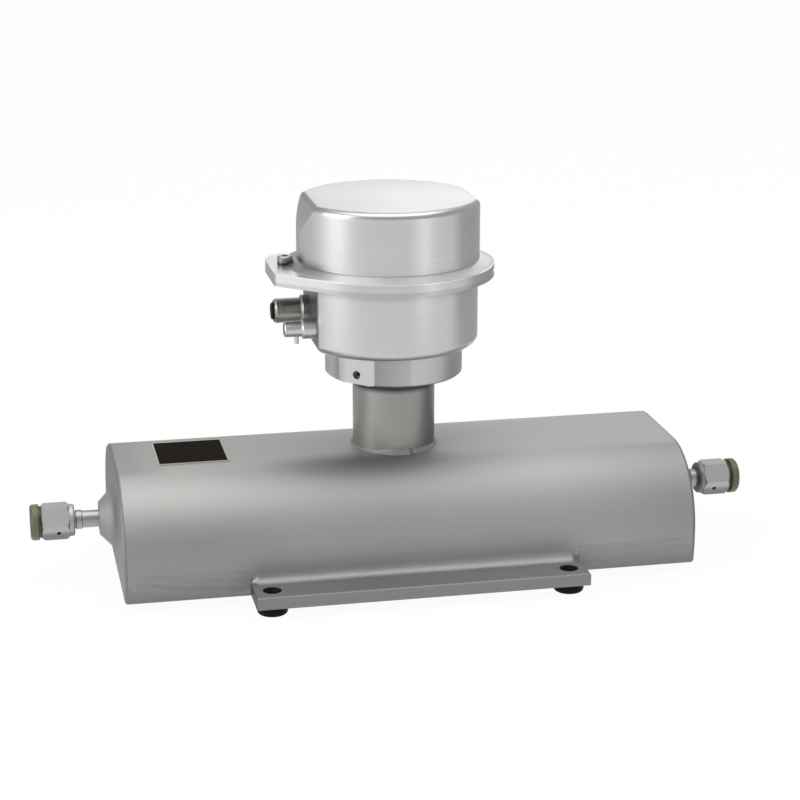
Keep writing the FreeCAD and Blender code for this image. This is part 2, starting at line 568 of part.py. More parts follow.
def aux_socket():
    """Small service socket with a stepped barrel and a bonding pin under it."""
    x = HEAD_X - FACET
    pts = [(0, 7.5), (AUX_STEM, 7.5), (AUX_STEM, 0.0), (AUX_R + 1.2, 0.0), (AUX_R + 1.2, -6.0),
           (AUX_R, -6.9), (AUX_R, AUX_FACE - x + 0.5), (AUX_R - 0.5, AUX_FACE - x), (2.4, AUX_FACE - x),
           (2.4, AUX_FACE - x + 5.0), (0, AUX_FACE - x + 5.0)]
    body = turned(pts, V(x, AUX_Y, AUX_Z), V(1, 0, 0))
    pin = rod(1.0, AUX_FACE + 6.0, AUX_Y, AUX_Z - AUX_R - 3.4, AUX_Z - AUX_R + 0.6)
    nut = rod_x(AUX_STEM + 1.8, x + 3.0, x + 5.5, AUX_Y, AUX_Z)
    nut = nut.cut(rod_x(AUX_STEM + FIT, x, x + 9, AUX_Y, AUX_Z))
    return body.fuse(pin), nut


def board(z):
    """Round circuit board, cut straight on the connector side."""
    disc = rod(BOARD_R, HEAD_X, 0, z, z + PCB).common(box(HEAD_X - BOARD_CUT, 60, -60, 60, z, z + PCB))
    for x, y in POSTS:
        disc = disc.cut(rod(POST_SCREW_R + FIT, HEAD_X + x, y, z - 1, z + PCB + 1))
    return disc


def posts():
    """Stacked standoffs: floor to lower board, lower board to upper board, and the top screws."""
    out = []
    for x, y in POSTS:
        x += HEAD_X
        out.append(rod(POST_R, x, y, FLOOR_Z, LOW_BOARD))
        upper = rod(POST_R, x, y, LOW_BOARD + PCB, HIGH_BOARD)
        out.append(upper.fuse(rod(POST_SCREW_R, x, y, LOW_BOARD, LOW_BOARD + PCB)))
        screw = rod(POST_SCREW_R, x, y, HIGH_BOARD, HIGH_BOARD + PCB)
        out.append(screw.fuse(rod(2.8, x, y, HIGH_BOARD + PCB, HIGH_BOARD + PCB + 2.0)))
    return Part.makeCompound(out)


def parts_on_boards():
    """Chips, capacitors and the transformer standing on the two boards."""
    z1, z2 = LOW_BOARD + PCB, HIGH_BOARD + PCB
    out = [box(-12, 10, -10, 8, z2, z2 + 2.4), box(4, 14, 16, 26, z2, z2 + 1.8),
           box(-10, 8, -12, 6, z1, z1 + 10.0), box(-8, 0, 14, 22, z1, z1 + 2.0)]
    out += [rod(4.0, x, y, z2, z2 + 14.0) for x, y in ((20.0, 6.0), (20.0, -6.0))]
    out += [rod(3.2, x, y, z1, z1 + 9.0) for x, y in ((18.0, 5.0), (18.0, -5.0))]
    return Part.makeCompound(out)


def terminal_block():
    """Six-way terminal row with clamp screws above and wire entries at the side."""
    z = HIGH_BOARD + PCB
    block = box(HEAD_X - 25, HEAD_X - 13, -17, 17, z, z + 12.0)
    for i in range(6):
        y = -14 + 5.6 * i
        block = block.cut(rod(1.8, HEAD_X - 17, y, z + 6, z + 13))
        block = block.cut(box(HEAD_X - 26, HEAD_X - 20, y - 1.8, y + 1.8, z + 2, z + 6))
    return block


def nut():
    """Right-hand union nut: round collar, hexagon with turned ends, two leak-test holes."""
    r_vertex = NUT_AF / math.sqrt(3)
    hexa = hexagon(NUT_AF, 0, 0, 0, NUT_HEX_L, 30)
    hexa.rotate(V(0, 0, 0), V(0, 1, 0), 90)
    hexa.translate(V(NUT_HEX, 0, LINE_Z))
    span, ring_l = NUT_HEX_L, NUT_RING_L + 0.5
    turned_ends = turned([(0, 0), (NUT_AF / 2, 0), (r_vertex, 1.2), (r_vertex, span - 1.2),
                          (NUT_AF / 2, span), (0, span)], V(NUT_HEX, 0, LINE_Z), V(1, 0, 0))
    body = hexa.common(turned_ends)
    body = body.fuse(turned([(0, 0), (NUT_RING_R - 0.7, 0), (NUT_RING_R, 0.7), (NUT_RING_R, ring_l), (0, ring_l)],
                            V(NUT_IN, 0, LINE_Z), V(1, 0, 0)))
    body = body.cut(rod_x(LINE_R + RUN, NUT_IN - 1, NUT_END + 1, 0, LINE_Z))
    body = body.cut(rod_x(NUT_BORE, GLAND_IN - 0.1, NUT_END + 1, 0, LINE_Z))
    for a in (TEST_TURN, TEST_TURN + 180.0):
        hole = Part.makeCylinder(TEST_R, 12, V(TEST_X, 0, LINE_Z),
                                 V(0, -math.cos(math.radians(a)), math.sin(math.radians(a))))
        body = body.cut(hole)
    return body.removeSplitter()


def cap():
    """Right-hand protective cap plugged into the open nut."""
    x0 = NUT_END
    pts = [(0, -CAP_PLUG), (NUT_BORE - RUN - 0.5, -CAP_PLUG), (NUT_BORE - RUN, -CAP_PLUG + 0.5),
           (NUT_BORE - RUN, 0), (CAP_R - 1.0, 0), (CAP_R - 1.0, CAP_GAP), (CAP_R, CAP_GAP),
           (CAP_R, CAP_L - 1.0), (CAP_R - 1.0, CAP_L), (0, CAP_L)]
    body = turned(pts, V(x0, 0, LINE_Z), V(1, 0, 0))
    return body.cut(rod_x(4.6, x0 - CAP_PLUG - 1, x0 + 1.0, 0, LINE_Z))


probe = temperature_probe()
blocks = both_sides(manifold())
drilled = blocks.cut(probe)
m12, m12_nut = m12_shell()
aux, aux_nut = aux_socket()

save("shell", shell())
save("bottom_pan", bottom_pan())
save("end_plates", both_sides(end_plate()))
front_rail, front_bead = rail(), rail_bead()
save("rails", Part.makeCompound([front_rail, front_rail.mirror(V(0, 0, 0), V(0, 1, 0))]))
save("rail_beads", Part.makeCompound([front_bead, front_bead.mirror(V(0, 0, 0), V(0, 1, 0))]))
save("feet", feet())
save("nameplate", nameplate())
save("neck", neck())
save("neck_bead", neck_bead())
save("neck_ring", neck_ring())
save("feedthrough", feedthrough())
save("base_frame", base_frame())
save("manifolds", drilled)
save("manifold_screws", manifold_screws())
save("loops", loops())
save("braces", braces())
save("saddles", saddles())
save("drive_coil", placed(coil(), STATIONS[0]))
save("drive_magnet", placed(magnet(), STATIONS[0]))
save("pickoff_coils", at_pickoffs(coil()))
save("pickoff_magnets", at_pickoffs(magnet()))
save("temperature_probe", probe)
save("line_tubes", both_sides(line_tube()))
save("nut_right", nut())
save("nut_left", mirrored(nut()))
save("cap_right", cap())
save("cap_left", mirrored(cap()))
save("collar", collar())
save("set_screw", set_screw())
save("housing", housing())
save("gasket", gasket())
save("lid", lid())
save("lid_screw", lid_screw())
save("m12_shell", m12)
save("m12_insert", m12_insert())
save("aux_socket", aux)
save("connector_nuts", Part.makeCompound([m12_nut, aux_nut]))
save("lower_board", board(LOW_BOARD))
save("upper_board", board(HIGH_BOARD))
save("board_posts", posts())
save("board_parts", parts_on_boards())
save("terminal_block", terminal_block())
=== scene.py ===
# %% [markdown]
# # A compact mass flow meter, dressed for its portrait
# The steel body, the neck and the round electronics head come from the CAD frame, already in place and
# to size. This lesson gives each of them the surface the real one has, adds the small forms that welding
# and printing leave behind, and sets up the light and the camera.

# %% Load the frame
import math

import bmesh
import bpy
import numpy as np
from mathutils import Matrix, Vector


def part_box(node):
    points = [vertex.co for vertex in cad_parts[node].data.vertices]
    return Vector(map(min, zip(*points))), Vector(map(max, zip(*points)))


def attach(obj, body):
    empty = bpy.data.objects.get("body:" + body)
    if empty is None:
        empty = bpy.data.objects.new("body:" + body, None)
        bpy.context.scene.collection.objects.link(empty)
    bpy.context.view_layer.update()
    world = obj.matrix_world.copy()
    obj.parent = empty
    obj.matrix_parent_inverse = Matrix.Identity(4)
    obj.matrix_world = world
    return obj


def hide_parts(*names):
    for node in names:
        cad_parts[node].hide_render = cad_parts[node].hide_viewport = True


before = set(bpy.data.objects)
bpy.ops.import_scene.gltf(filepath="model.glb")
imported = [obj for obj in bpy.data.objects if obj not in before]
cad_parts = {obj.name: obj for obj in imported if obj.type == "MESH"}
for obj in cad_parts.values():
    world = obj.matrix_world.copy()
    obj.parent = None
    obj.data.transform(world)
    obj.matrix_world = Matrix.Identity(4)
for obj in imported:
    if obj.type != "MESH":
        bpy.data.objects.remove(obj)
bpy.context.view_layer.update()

# %% [markdown]
# ## The camera
# A long lens from about a metre away keeps the tube's two ends nearly the same size. The camera stands a
# little to the left of the front and looks slightly down. Its turn is built from three directions, back,
# right and up, because that says exactly where the picture's edges point.

# %% Camera
AZIMUTH, ELEVATION = math.radians(-11.68), math.radians(16.56)
FOCAL_PX, PICTURE_PX, SENSOR_MM = 2164.5, 800, 36.0
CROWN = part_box("shell")[1][2]
AIM, STAND_OFF = Vector((0.00324, 0.0, CROWN + 0.02101)), 1.0596

back = Vector((math.sin(AZIMUTH) * math.cos(ELEVATION), -math.cos(AZIMUTH) * math.cos(ELEVATION),
               math.sin(ELEVATION)))
right = Vector((math.cos(AZIMUTH), math.sin(AZIMUTH), 0.0))
up = back.cross(right)
lens = bpy.data.cameras.new("camera")
lens.sensor_width = SENSOR_MM
lens.lens = FOCAL_PX / PICTURE_PX * SENSOR_MM
lens.clip_start, lens.clip_end = 0.05, 50.0
camera = bpy.data.objects.new("camera", lens)
turn = Matrix((right, up, back)).transposed().to_4x4()
camera.matrix_world = Matrix.Translation(AIM + back * STAND_OFF) @ turn
bpy.context.scene.collection.objects.link(camera)
bpy.context.scene.camera = camera
print("lens mm", round(lens.lens, 1), "crown height mm", round(CROWN * 1000, 2))

# %% [markdown]
# ## Shader sums written as sums
# A finish often needs arithmetic on texture values, such as one minus a mask. Wrapping a socket in a small
# class lets Python's own signs add the Math nodes, so a formula reads as a formula. Every other node comes
# from one method that sets its options first and then its inputs.

# %% Socket arithmetic
class Socket:
    """A node's output that can be added, subtracted, multiplied and divided."""

    def __init__(self, finish, output):
        self.finish, self.output = finish, output

    def maths(self, operation, a, b):
        return self.finish.add("Math", {"operation": operation}, {0: a, 1: b})

    def __add__(self, other): return self.maths("ADD", self, other)
    def __radd__(self, other): return self.maths("ADD", other, self)
    def __sub__(self, other): return self.maths("SUBTRACT", self, other)
    def __rsub__(self, other): return self.maths("SUBTRACT", other, self)
    def __mul__(self, other): return self.maths("MULTIPLY", self, other)
    def __rmul__(self, other): return self.maths("MULTIPLY", other, self)
    def __truediv__(self, other): return self.maths("DIVIDE", self, other)
    def __rtruediv__(self, other): return self.maths("DIVIDE", other, self)


class Finish:
    """One material: a Principled shader, its fixed values, and the textures that vary over the surface."""

    def __init__(self, name, **fixed):
        self.material = bpy.data.materials.new(name)
        self.material.use_nodes = True
        self.tree = self.material.node_tree
        self.shader = self.tree.nodes["Principled BSDF"]
        for key, value in fixed.items():
            self.shader.inputs[key.replace("_", " ")].default_value = value

    def add(self, kind, options=None, inputs=None, output=0):
        node = self.tree.nodes.new("ShaderNode" + kind)
        for key, value in (options or {}).items():
            if key == "stops":
                ramp = node.color_ramp
                while len(ramp.elements) < len(value):
                    ramp.elements.new(0.5)
                for element, (place, colour) in zip(ramp.elements, value):
                    element.position, element.color = place, (*colour, 1.0)
            else:
                setattr(node, key, value)
        for key, value in (inputs or {}).items():
            self.join(node.inputs[key], value)
        return Socket(self, node.outputs[output])

    def join(self, socket, value):
        if isinstance(value, Socket):
            self.tree.links.new(value.output, socket)
        elif isinstance(value, tuple) and len(value) == 3 and socket.type == "RGBA":
            socket.default_value = (*value, 1.0)
        else:
            socket.default_value = value

    def feed(self, name, value):
        self.join(self.shader.inputs[name], value)

    def place(self):
        return self.add("TexCoord", output="Object")

    def noise(self, where, scale, detail=2.0, rough=0.5):
        return self.add("TexNoise", {"noise_dimensions": "3D"},
                        {"Vector": where, "Scale": scale, "Detail": detail, "Roughness": rough})

    def stretch(self, where, scale, offset=(0.0, 0.0, 0.0)):
        return self.add("Mapping", {"vector_type": "POINT"},
                        {"Vector": where, "Location": offset, "Scale": scale})

    def ramp(self, value, stops):
        return self.add("ValToRGB", {"stops": stops}, {"Fac": value})

    def mix(self, factor, a, b):
        node = self.tree.nodes.new("ShaderNodeMix")
        node.data_type = "RGBA"
        for socket, value in ((node.inputs[0], factor), (node.inputs[6], a), (node.inputs[7], b)):
            self.join(socket, value)
        return Socket(self, node.outputs[2])

    def bump(self, height, strength, distance):
        self.feed("Normal", self.add("Bump", {}, {"Height": height, "Strength": strength,
                                                  "Distance": distance}))


def wear(name, finish):
    """Puts a finish on a CAD node in place of the plain one it came with."""
    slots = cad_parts[name].data.materials
    slots.clear()
    slots.append(finish.material)


def grey(level, warm=0.0):
    """A near-neutral colour; warm moves it slightly from blue toward yellow."""
    return (level * (1 + warm), level * (1 + 0.3 * warm), level * (1 - warm))


# %% [markdown]
# ## Masks and shades
# A finish here is not one tone all over. A mask is a number from nought to one, worked out from a
# point's place on the piece, and a shade is a mask with the grey that the metal turns to where the mask is
# one. Most shades below are painted light and shade. Because masks are small functions they can be
# multiplied, and each finish only has to list its shades.

# %% Masks and shades
def between(f, value, low, high):
    """Nought at low, one at high, straight between them and flat outside."""
    return f.add("MapRange", {"clamp": True}, {0: value, 1: low, 2: high})


def axis_of(f, here, letter):
    return f.add("SeparateXYZ", {}, {0: here}, letter)


def size_of(f, value):
    return f.add("Math", {"operation": "ABSOLUTE"}, {0: value})


def length_of(f, vector):
    return f.add("VectorMath", {"operation": "LENGTH"}, {0: vector}, "Value")


def along(letter, low, high):
    """A mask: nought where the axis reads low, one where it reads high."""
    return lambda f, here: between(f, axis_of(f, here, letter), low, high)


def both_masks(first, second):
    return lambda f, here: first(f, here) * second(f, here)


def shaded(f, here, cloud, level, warm, spread, shades):
    """A mottled grey of one level that turns to each shade's own level where that shade's mask is one."""
    def mottled(middle):
        dark, light = grey(middle * (1 - spread), warm), grey(middle * (1 + spread), warm)
        return f.ramp(cloud, [(0.3, dark), (0.7, light)])

    tone = mottled(level)
    for where, other in shades:
        tone = f.mix(where(f, here), tone, mottled(other))
    return tone


# %% [markdown]
# ## Glass-bead-blasted sheet
# The body is welded from stainless sheet and then blasted with glass beads, which leaves a dull, even skin
# with no direction. Two noises do this: a fine one for the tiny dents, read as bump, and a broad one that
# shifts the tone and roughness a little from place to place, as handling does.

# %% Blasted steel
def blasted(name, level, warm=0.02, rough=0.5, grain=1.0, metal=0.9, shades=()):
    f = Finish(name, Metallic=metal)
    here = f.place()
    cloud = f.noise(here, 14.0, 3.0, 0.55)
    dents = f.noise(here, 2600.0, 1.0)
    f.feed("Base Color", shaded(f, here, cloud, level, warm, 0.04, shades))
    f.feed("Roughness", rough + 0.08 * (cloud - 0.5) + 0.08 * (dents - 0.5))
    f.bump(dents, 0.14 * grain, 0.0002)
    return f


# %% [markdown]
# The shades here were set by comparing tones with the picture, and they are painted light and shade:
# the flat crown a little lighter, the lower wall a little darker, the rails' end faces nearly black, and a
# darker oval in front of the neck, a painted shadow and reflection of the neck. One picture can't tell a
# tone of the metal from a reflection of the studio, so each shade is a reading of it, and it is kept broad
# and soft.

# %% The body's finishes
BODY_END, RAIL_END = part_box("shell")[1][0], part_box("rails")[1][0]
BOSS_START, BOSS_OUT = BODY_END + 0.0015, BODY_END + 0.0045
NECK_SHADE_MIDDLE, NECK_SHADE_HALF = (-0.022, -0.0248), (0.050, 0.0145)
SHEET_LEVEL = 0.410
dull = {"warm": 0.022, "rough": 0.60, "metal": 0.80}


def painted_neck_shade(f, here):
    """Painted shade in front of the neck: fades out with the length of ((x - middle) / half, (y - middle) /
    half), one on the oval.
    """
    spot = f.stretch(here, (1 / NECK_SHADE_HALF[0], 1 / NECK_SHADE_HALF[1], 0.0),
                     (-NECK_SHADE_MIDDLE[0] / NECK_SHADE_HALF[0], -NECK_SHADE_MIDDLE[1] / NECK_SHADE_HALF[1], 0.0))
    return between(f, length_of(f, spot), 1.0, 0.15)


# Painted shade: the rails' end faces turn nearly black.
def painted_end_shade(f, here):
    return between(f, size_of(f, axis_of(f, here, "X")), RAIL_END - 0.0002, RAIL_END - 0.0001)


# Painted light and shade on the sheet: the crown lighter, and the lower wall, the right end, the crown's left
# corner and the lower left wall darker.
crown, lower_wall = along("Z", CROWN - 0.0012, CROWN - 0.0002), along("Z", 0.044, 0.030)
crown_corner = both_masks(crown, along("X", -0.110, -0.130))
wall_left = both_masks(lower_wall, along("X", -0.06, -0.11))
sheet_shades = [(lower_wall, 0.385), (along("X", 0.075, 0.13), 0.345), (crown, 0.425), (crown_corner, 0.345),
                (wall_left, 0.352), (painted_neck_shade, 0.22)]
sheet = blasted("blasted_sheet", SHEET_LEVEL, **dull, shades=sheet_shades)
# The left end plate's boss is set a little lighter. The pan turns darker toward the floor, a painted shade.
end_sheet = blasted("blasted_ends", 0.225, **dull, shades=[(along("X", -BOSS_START, -BOSS_OUT), 0.31)])
pan_sheet = blasted("blasted_pan", 0.235, warm=0.024, rough=0.60, grain=1.2, metal=0.80,
                    shades=[(along("Z", 0.0039, 0.0150), 0.335)])
rail_metal = blasted("blasted_rail", 0.262, warm=0.022, rough=0.55, metal=0.80, shades=[(painted_end_shade, 0.08)])
print("sheet shades, in parts of its own tone", [round(level / SHEET_LEVEL, 2) for _, level in sheet_shades])

# %% [markdown]
# The neck gets a smoother finish than the sheet. In the picture it is lighter at the left, darker at the
# right and nearly black just under the collar, so those are its three shades, all painted: painted light
# and shade across it, and a painted shadow under the collar.

# %% The neck's finish
COLLAR_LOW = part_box("collar")[0][2]
# Painted shadow: a nearly black band on the neck just under the collar. The left side is painted lighter and
# the right side darker.
collar_shadow = along("Z", COLLAR_LOW - 0.0072, COLLAR_LOW - 0.0048)
neck_metal = blasted("blasted_neck", 0.31, warm=0.03, rough=0.38, grain=0.7, metal=0.90, shades=[
    (along("X", 0.0, -0.018), 0.36), (along("X", 0.009, 0.0198), 0.18), (collar_shadow, 0.05)])
blasted_nodes = {"shell": sheet, "end_plates": end_sheet, "bottom_pan": pan_sheet, "rails": rail_metal,
                 "neck": neck_metal}
for node, finish in blasted_nodes.items():
    wear(node, finish)
print("blasted nodes", list(blasted_nodes))

# %% [markdown]
# ## Turned metal
# The head, its lid and the clamping collar are turned on a lathe, so very fine rings run round them. The
# distance from the axis and the height together number the rings: one noise read along those two values
# draws rings on the flat top and lines round the wall with no seam between them. A second noise changes
# slowly along the ground and fast in height, which gives the wall long thin streaks like those of brushing.

# %% Turned steel
def round_axis(f, here, centre):
    """Distance from an upright axis through centre."""
    return length_of(f, f.stretch(here, (1.0, 1.0, 0.0), (-centre[0], -centre[1], 0.0)))


def turned_metal(name, level, centre, rough, shades):
    f = Finish(name, Metallic=0.95)
    here = f.place()
    turns = f.add("CombineXYZ", {}, {0: round_axis(f, here, centre) * 3.0, 1: axis_of(f, here, "Z")})
    rings = f.noise(turns, 1100.0, 4.0, 0.65)
    cloud = f.noise(here, 22.0, 2.0)
    streaks = f.noise(f.stretch(here, (14.0, 14.0, 1100.0)), 1.0, 3.0, 0.6)
    f.feed("Base Color", shaded(f, here, 0.3 * cloud + 0.7 * streaks, level, 0.0, 0.045, shades))
    f.feed("Roughness", rough + 0.20 * (rings - 0.5) + 0.06 * (cloud - 0.5))
    f.bump(rings, 0.10, 0.00015)
    return f


# %% [markdown]
# In the picture the housing is darker close under its rim, and the flat that carries the connectors is much
# darker than the round wall. Both are painted: a painted shadow under the rim, and a painted shade and
# reflection of the connectors on the flat. The flat is found by its distance from the head's axis, below the
# rim.

# %% The housing's finish
HEAD_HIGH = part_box("housing")[1]
RIM_R, FLAT_FROM_AXIS = 0.0510, 0.0382
HEAD_AXIS, PART_Z = (HEAD_HIGH[0] - RIM_R, 0.0), HEAD_HIGH[2]
FLAT_X = HEAD_AXIS[0] - FLAT_FROM_AXIS
# Painted shadow under the rim, and painted shade and reflection of the connectors on their flat.
rim_shadow = along("Z", PART_Z - 0.0068, PART_Z - 0.0046)
painted_flat_shade = both_masks(along("X", FLAT_X + 0.0008, FLAT_X + 0.0002),
                            along("Z", PART_Z - 0.0020, PART_Z - 0.0028))
head_metal = turned_metal("turned_head", 0.565, HEAD_AXIS, rough=0.32,
                          shades=[(rim_shadow, 0.46), (painted_flat_shade, 0.17)])
wear("housing", head_metal)
print("head axis x mm", round(HEAD_AXIS[0] * 1000, 2), "parting height mm", round(PART_Z * 1000, 2))

# %% [markdown]
# The lid is a drum on a flat plate that repeats the outline of the housing's rim. In the picture the drum's
# top grows darker toward the back and the left, its wall has a dark foot at the left where it meets the
# plate, and the plate's top is the brightest place of all, a little darker at the right. All of these are
# painted light and shade: the top's fall-off, a painted shadow at the wall's foot and a painted highlight
# on the plate's top.

# %% The lid's finish
LID_TOP, LID_WALL_R, PLATE_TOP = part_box("lid")[1][2], 0.0446, PART_Z + 0.0040
# Painted light and shade on the lid: the top darker toward the back and the left, a painted shadow at the
# wall's foot on the left, the plate darker at the right and a painted highlight on its flat top.
left_side = along("X", 0.0, -0.042)
top_left = both_masks(left_side, along("Z", LID_TOP - 0.0026, LID_TOP - 0.0008))
top_back = both_masks(along("Y", 0.0, 0.044), along("Z", LID_TOP - 0.0012, LID_TOP - 0.0002))
wall_foot = both_masks(along("Z", PLATE_TOP + 0.0058, PLATE_TOP + 0.0018),
                       along("Z", PLATE_TOP + 0.0001, PLATE_TOP + 0.0004))
left_foot_shadow = both_masks(wall_foot, along("X", -0.029, -0.040))
plate_right = both_masks(along("X", 0.026, 0.046), along("Z", PLATE_TOP + 0.0006, PLATE_TOP + 0.0001))


def plate_highlight(f, here):
    """Painted highlight on the plate's flat top outside the drum's wall, strongest at the front and the back.
    """
    return (between(f, round_axis(f, here, HEAD_AXIS), LID_WALL_R, LID_WALL_R + 0.0006)
            * between(f, size_of(f, axis_of(f, here, "Y")), 0.016, 0.036)
            * along("Z", PLATE_TOP - 0.0006, PLATE_TOP - 0.0001)(f, here))


lid_metal = turned_metal("turned_lid", 0.56, HEAD_AXIS, rough=0.32, shades=[
    (top_back, 0.42), (top_left, 0.42), (left_foot_shadow, 0.32), (plate_right, 0.42), (plate_highlight, 0.80)])
wear("lid", lid_metal)
print("lid top mm", round(LID_TOP * 1000, 2), "plate top mm", round(PLATE_TOP * 1000, 2))

# %% [markdown]
# The collar is round apart from the one flat where the set screw sits. In the picture upright bands of
# lighter and darker tone stand on both sides of that flat, and the left side is lighter than the right;
# here all of them are painted reflections and painted light on the round collar. A band is picked out by
# its bearing, the angle round the neck's axis, which the arctangent of y and x gives.

# %% The collar's finish
def bearing_band(first, peak, last):
    """One at the bearing peak, falling to nought at first and last, all in degrees round the z axis."""
    def where(f, here):
        bearing = f.add("Math", {"operation": "ARCTAN2"},
                        {0: axis_of(f, here, "Y"), 1: axis_of(f, here, "X")})
        turn = bearing * (180 / math.pi)
        return between(f, turn, first, peak) * between(f, turn, last, peak)
    return where


# Painted reflections: upright bands of lighter and darker tone beside the set screw's flat. The left side is
# painted lighter and the right side darker.
collar_reflection_bands = [(bearing_band(-162.0, -153.5, -145.0), 0.36), (bearing_band(-118.0, -116.5, -86.0), 0.30),
                (bearing_band(-88.0, -86.0, -55.0), 0.52)]
collar_metal = turned_metal("turned_collar", 0.465, (0.0, 0.0), rough=0.34, shades=[
    (left_side, 0.56), (along("X", 0.014, 0.033), 0.38), *collar_reflection_bands])
wear("collar", collar_metal)
print("bands beside the set screw's flat", len(collar_reflection_bands))

# %% [markdown]
# ## Metal turned about the measuring line
# The union nuts and the line tubes lie on their side, so their rings are numbered by x and by the distance
# from the line instead. In the picture the nuts' lower faces are darker, and so is the inner end of the right
# one, so those are the nuts' two shades, both painted shade.

# %% Nuts and line tubes
LINE_Z = (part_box("line_tubes")[0][2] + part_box("line_tubes")[1][2]) / 2


def along_line(name, level, rough, shades=()):
    f = Finish(name, Metallic=0.95)
    here = f.place()
    radius = length_of(f, f.stretch(here, (0.0, 1.0, 1.0), (0.0, 0.0, -LINE_Z)))
    rings = f.noise(f.add("CombineXYZ", {}, {0: radius, 1: axis_of(f, here, "X")}), 2600.0, 2.0)
    f.feed("Base Color", shaded(f, here, rings, level, 0.02, 0.045, shades))
    f.feed("Roughness", rough + 0.16 * (rings - 0.5))
    f.bump(rings, 0.08, 0.0001)
    return f


NUT_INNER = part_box("nut_right")[0][0]
# Painted shade on the nuts' lower faces and on the right nut's inner end.
lower_face_shade = along("Z", LINE_Z - 0.0026, LINE_Z - 0.0050)
right_ring_shade = both_masks(along("X", NUT_INNER + 0.0032, NUT_INNER + 0.0012), along("X", 0.0, 0.01))
nut_metal = along_line("turned_nut", 0.48, rough=0.54, shades=[(lower_face_shade, 0.25), (right_ring_shade, 0.20)])
line_metal = along_line("line_tube", 0.40, rough=0.42)
print("line height mm", round(LINE_Z * 1000, 2))

# %% [markdown]
# ## Fittings, rubber, plastics and the inner works
# The plug is dark nickel, the feet are plain black rubber, the coils are wound copper and the boards are
# green. Each gets its own roughness and a faint grain, so no surface is one flat colour. The numbers after
# each colour say how rough and how metallic it is, how far its tone varies and how fine its grain is.

# %% Speckled finishes
def speckled(name, colour=None, rough=0.5, metal=0.0, vary=0.12, grain=180.0, bump=0.1, tone=None, **fixed):
    """A speckle of one colour, or tone(f, here) as base colour where that changes over the piece."""
    f = Finish(name, Metallic=metal, **fixed)
    here = f.place()
    cloud = f.noise(here, grain, 3.0)
    if tone:
        f.feed("Base Color", tone(f, here))
    else:
        low, high = [tuple(c * k for c in colour) for k in (1 - vary, 1 + vary)]
        f.feed("Base Color", f.ramp(cloud, [(0.3, low), (0.7, high)]))
    f.feed("Roughness", rough + 0.15 * (cloud - 0.5))
    f.bump(f.noise(here, grain * 12, 1.0), bump, 0.0001)
    return f


inner_metal = speckled("inner_steel", grey(0.50), 0.32, metal=0.95, vary=0.05, grain=60.0)
screw_metal = speckled("screw_steel", grey(0.16), 0.35, metal=0.9, vary=0.1, grain=300.0)
dark_nickel = speckled("dark_nickel", (0.36, 0.35, 0.325), 0.34, metal=0.9, vary=0.15, grain=200.0)
satin_nickel = speckled("satin_nickel", grey(0.57, 0.02), 0.32, metal=0.9, vary=0.06, grain=200.0)
rubber = speckled("black_rubber", (0.0035, 0.0035, 0.004), 0.55, vary=0.25, grain=150.0, bump=0.25,
                  Specular_IOR_Level=0.12)
seal_rubber = speckled("seal_rubber", (0.02, 0.02, 0.02), 0.45, vary=0.2, grain=150.0)
black_plastic = speckled("black_plastic", (0.0035, 0.0035, 0.004), 0.50, vary=0.2, grain=300.0,
                         Specular_IOR_Level=0.1)
green_plastic = speckled("terminal_green", (0.03, 0.22, 0.08), 0.40, vary=0.08, grain=200.0)
board_green = speckled("board_laminate", (0.012, 0.10, 0.035), 0.30, vary=0.2, grain=400.0)
chip_black = speckled("chip_body", (0.018, 0.018, 0.020), 0.45, vary=0.2, grain=500.0)
copper = speckled("wound_copper", (0.60, 0.22, 0.08), 0.28, metal=0.9, grain=300.0)
magnet_metal = speckled("plated_magnet", grey(0.50), 0.18, metal=0.95, vary=0.03, grain=200.0)
glass_seal = speckled("fused_glass", (0.10, 0.16, 0.13), 0.15, vary=0.1, grain=200.0)
bead_metal = blasted("weld_metal", 0.305, warm=0.025, rough=0.48, grain=1.4)
print("materials so far", len(bpy.data.materials))

# %% [markdown]
# The lid screw's head is darker toward its foot, a painted shade. The caps are waxy olive plastic with
# faint bands round the rim: a sine of the distance along the line draws the bands, and a ramp over the
# rim's width gives the tone under them. The ramp starts nearly black at the rim's inner edge, a painted
# shade of the gap there.

# %% Lid screw and caps
SCREW_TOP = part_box("lid_screw")[1][2]
CAP_RIM_L, CAP_BAND = 0.0054, 0.0022
CAP_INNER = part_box("cap_right")[1][0] - CAP_RIM_L


# Painted shade: the screw head turns nearly black toward its foot.
def screw_tone(f, here):
    foot = between(f, axis_of(f, here, "Z"), SCREW_TOP - 0.0016, SCREW_TOP - 0.0036)
    return f.mix(foot, grey(0.32), grey(0.035))


# The ramp's nearly black start is a painted shade of the gap at the rim's inner edge.
def cap_tone(f, here):
    """Ramp read at d / rim width + 0.10 sin(2 pi d / band), with d the distance past the rim's inner edge."""
    past = size_of(f, axis_of(f, here, "X")) - CAP_INNER
    band = f.add("Math", {"operation": "SINE"}, {0: past * (2 * math.pi / CAP_BAND)})
    return f.ramp(past / CAP_RIM_L + 0.10 * band, [
        (0.12, (0.016, 0.015, 0.010)), (0.38, (0.135, 0.137, 0.068)),
        (0.75, (0.125, 0.127, 0.068)), (1.00, (0.070, 0.070, 0.040))])


plain_screw = speckled("plain_screw", rough=0.35, metal=0.9, grain=300.0, tone=screw_tone)
olive = speckled("olive_plastic", rough=0.38, grain=160.0, bump=0.15, tone=cap_tone)
print("cap rim mm", CAP_RIM_L * 1000, "band mm", CAP_BAND * 1000)

# %% [markdown]
# ## The nameplate
# The plate is nearly black with a thin pale border. Its own middle and half size turn object coordinates
# into a square from minus one to one, and the border is wherever the larger of the two sizes passes a limit.

